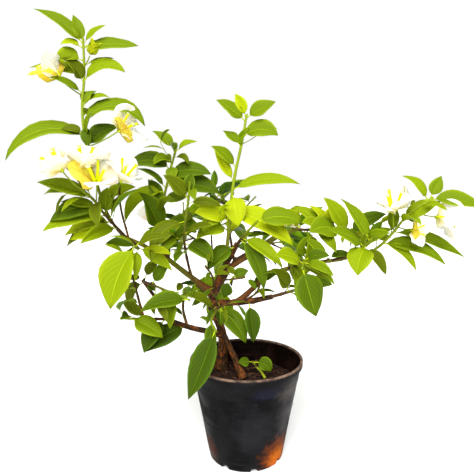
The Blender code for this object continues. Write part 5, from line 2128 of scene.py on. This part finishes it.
@dataclass
class Leaves:
    """Every leaf, joined by its tone, with a duller under face darkened as painted shade."""

    bush: Bush
    form: BladeForm = BladeForm()
    rule_form: BladeForm = BladeForm(rows=7, slim=0.76, roll=38, twist=34)
    small_form: BladeForm = BladeForm(rows=5, slim=0.85, roll=40, wave=0.05)
    seed: int = 21
    upper: tuple = (
        LeafFinish(Tone.YOUNG.value, "#CEDA00", "#ACC000", "#DCE23C", glow=0.32),
        LeafFinish(Tone.LIME.value, "#B0C800", "#8CA800", "#C4D22A", glow=0.30),
        LeafFinish(Tone.FRESH.value, "#98B000", "#6A8C00", "#AEC21C"),
        LeafFinish(Tone.OLIVE.value, "#7E9200", "#546600", "#94A61A"),
        LeafFinish(Tone.MID.value, "#749C00", "#486A00", "#8CA81A"),
        LeafFinish(Tone.DEEP.value, "#4A7000", "#284400", "#668C1A"),
    )
    # Darker than the upper faces: painted shade on the under faces.
    shaded_under_colours: dict = field(default_factory=lambda: {
        Tone.YOUNG: "#A6B400", Tone.LIME: "#849800", Tone.FRESH: "#687E00", Tone.OLIVE: "#566200",
        Tone.MID: "#485E00", Tone.DEEP: "#364A00"})

    def build(self) -> None:
        """Deal the leaves their tones and build one piece to each tone."""
        dealt: dict[Tone, tuple[list[Blade], ...]] = {tone: ([], [], []) for tone in Tone}
        chance = random.Random(self.seed)
        for mass in GROWN:
            for blade in self.bush.blades[mass.name]:
                by_rule = blade.stations is not RULE.blade_stations
                dealt[blade.tone or chance.choice(mass.tones)][by_rule].append(blade)
            for blade in self.bush.small[mass.name]:
                dealt[chance.choice(mass.tones)][2].append(blade)
        nodes = [mass.name for mass in MASSES]
        for finish in self.upper:
            tone = Tone(finish.name)
            forms = (self.form, self.rule_form, self.small_form)
            work = gather(form.cut(blades, self.seed) for form, blades in zip(forms, dealt[tone]))
            under = LeafFinish(f"{finish.name}_underside", self.shaded_under_colours[tone],
                               self.shaded_under_colours[tone], finish.vein, 0.62, finish.glow)
            name = finish.name.replace("leaf", "leaves")
            piece = finished(name, work, [finish.build(), under.build()], nodes)
            add_solidify(piece, self.form.thickness)


@dataclass
class Blossom:
    """Blooms: papery bracts, and the slim tubes of the true flowers between them."""

    bush: Bush
    form: BladeForm = BladeForm(columns=6, rows=8, foot=0.36, tip=0.62, slim=1.30, fold=0.26,
                                curl=0.20, wave=0.15, waves=2.0, thickness=0.2)
    bud_form: BladeForm = BladeForm(columns=6, rows=8, foot=0.30, tip=0.70, slim=0.84, fold=0.45,
                                    curl=0.20, wave=0.02, sway=0.0, twist=4.0, thickness=0.2)
    tube_length: float = 27.0
    tube_lean: float = 16.0  # from the bloom's axis, degrees
    tube_radii: tuple = (1.0, 1.9, 2.0, 1.7, 1.5, 1.6, 1.9)
    mouth_radius: float = 3.8
    lobes: int = 5
    tube_sides: int = 8
    seed: int = 5
    bract: BractFinish = BractFinish()
    aged: BractFinish = BractFinish("yellowed_bract", "#FBF078", "#E0C840", "#C8C420", "#F0D458",
                                    glow=0.7)
    bud: BractFinish = BractFinish("green_bud_bract", "#C8CE10", "#A8B410", "#9AA808", "#BCC408",
                                   glow=0.3)

    def build(self) -> None:
        """Build the bracts, the tubes and their starry mouths."""
        nodes = [mass.name for mass in MASSES if mass.blooms]
        bracts = [bract for mass in MASSES for bract in self.bush.bracts[mass.name]]
        for name, tone, finish, form in (("bracts", None, self.bract, self.form),
                                         ("aged_bracts", OLIVE, self.aged, self.form),
                                         ("bud_bracts", YOUNG, self.bud, self.bud_form)):
            paper = finish.build()
            sheets = form.cut([bract for bract in bracts if bract.tone is tone], self.seed)
            piece = finished(name, sheets, [paper, paper], nodes)
            add_solidify(piece, self.form.thickness)
        flowers = [flower for mass in MASSES for flower in self.bush.flowers[mass.name]
                   if flower.opening >= RULE.bud_opening]
        tubes = [self.tube(flower, petal) for flower in flowers for petal in range(3)]
        green = ShootFinish("yellow_green_flower_tube", "#A8BC08", "#D6E000", 0.1, 0.45).build()
        finished("flower_tubes", gather(tubes), [green], nodes)
        cream = BractFinish("cream_flower_mouth", "#FFFDE8", "#F0F0C0", "#F0F0C0", "#FFFDE8").build()
        mouths = [self.mouth(flower, petal) for flower in flowers for petal in range(3)]
        finished("flower_mouths", gather(mouths), [cream], nodes)

    def tube_line(self, flower: Flower, petal: int) -> Points:
        """Give the centre line of one flower tube.

        Args:
            flower: The bloom.
            petal: Which of its three tubes.

        Returns:
            The points from root to mouth.
        """
        turn = flower.turn + 120 * petal + 30
        lean = min(self.tube_lean, flower.opening * 0.6)
        spread, heading = spoke(flower.axis, turn), leaving(flower.axis, turn, lean)
        root = flower.seat + spread * 1.2
        length = self.tube_length * flower.size
        steps = len(self.tube_radii) - 1
        return [root + heading * length * step / steps + spread * 1.5 * (step / steps) ** 2
                for step in range(steps + 1)]

    def tube(self, flower: Flower, petal: int) -> BMesh:
        """Draw one flower tube."""
        radii = [radius * flower.size for radius in self.tube_radii]
        return Sweep(self.tube_line(flower, petal), radii, self.tube_sides).draw()

    def mouth(self, flower: Flower, petal: int) -> BMesh:
        """Make the small star at a tube's end.

        Args:
            flower: The bloom.
            petal: Which of its three tubes.

        Returns:
            The star.
        """
        line = self.tube_line(flower, petal)
        work = bmesh.new()
        star = bmesh.ops.create_circle(work, segments=2 * self.lobes, radius=1.0,
                                       cap_ends=True)["verts"]
        frame_here = carried_frames(line)[-1]
        for index, vert in enumerate(star):
            reach = self.mouth_radius * flower.size * (1.0 if index % 2 else 0.45)
            lift = 0.8 if index % 2 else 0.2
            arm = Vector((vert.co.x, vert.co.y, 0)) * reach
            vert.co = line[-1] + frame_here @ (arm + Vector((0, 0, lift)))
        bmesh.ops.poke(work, faces=work.faces[:])
        bmesh.ops.solidify(work, geom=work.faces[:], thickness=0.25)
        bmesh.ops.recalc_face_normals(work, faces=work.faces[:])
        return work


@dataclass(frozen=True)
class Studio:
    """Floor, light and camera: a plain white room lit softly from above, the front and the left."""

    floor_radius: float = 6.0  # m
    camera_pitch: float = 7.4875  # degrees below level
    focal_length: float = 475.445  # pixels of the square picture
    key_turn: tuple = (44.0, -8.0)  # degrees it leans to the front and, if below 0, to the left
    key_strength: float = 6.4
    key_softness: float = 55.0  # degrees across
    room_light: float = 0.46

    def build(self) -> None:
        """Set up the whole studio."""
        self.floor()
        self.room()
        self.key()
        self.camera()

    def floor(self) -> None:
        """Lay the pale floor."""
        work = bmesh.new()
        bmesh.ops.create_circle(work, cap_ends=True, segments=96, radius=self.floor_radius)
        mesh = as_mesh("studio_floor", work)
        mesh.materials.append(StudioFinish().build())
        floor = placed("studio_floor", mesh)

    def room(self) -> None:
        """Light the room evenly, and show white behind the plant."""
        world = bpy.data.worlds.new("pale_room")
        world.use_nodes = True
        tree = world.node_tree
        tree.nodes.clear()
        path = add_node(tree, "ShaderNodeLightPath")
        soft = add_node(tree, "ShaderNodeBackground", {0: "#FFFFFF", 1: self.room_light})
        white = add_node(tree, "ShaderNodeBackground", {0: "#FFFFFF", 1: 1.0})
        both = add_node(tree, "ShaderNodeMixShader",
                        {0: path.outputs["Is Camera Ray"], 1: soft.outputs[0], 2: white.outputs[0]})
        add_node(tree, "ShaderNodeOutputWorld", {0: both.outputs[0]})
        bpy.context.scene.world = world
        bpy.context.scene.view_settings.view_transform = "Standard"

    def key(self) -> None:
        """Hang the key light, far off and soft edged."""
        light = bpy.data.lights.new("key_light", "SUN")
        light.energy, light.angle = self.key_strength, radians(self.key_softness)
        front, side = self.key_turn
        placed("key_light", light).rotation_euler = (radians(front), radians(side), 0)

    def camera(self) -> None:
        """Set the camera at eye level with the crown."""
        lens = bpy.data.cameras.new("camera")
        lens.sensor_width = 36.0
        lens.lens = lens.sensor_width * self.focal_length / IMAGE_WIDTH
        lens.clip_start = 0.01
        camera = placed("camera", lens)
        camera.location = EYE * MM
        camera.rotation_euler = (radians(90 - self.camera_pitch), 0, 0)
        bpy.context.scene.camera = camera


def main() -> None:
    """Build every sub-assembly in order."""
    logging.basicConfig(level=logging.INFO, format="%(name)s %(message)s")
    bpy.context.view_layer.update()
    bush = Bush().grow()
    for sub_assembly in (Pot(), Soil(), Limbs(bush), Twigs(bush), Leaves(bush), Blossom(bush),
                         Studio()):
        sub_assembly.build()


if __name__ == "__main__":
    main()
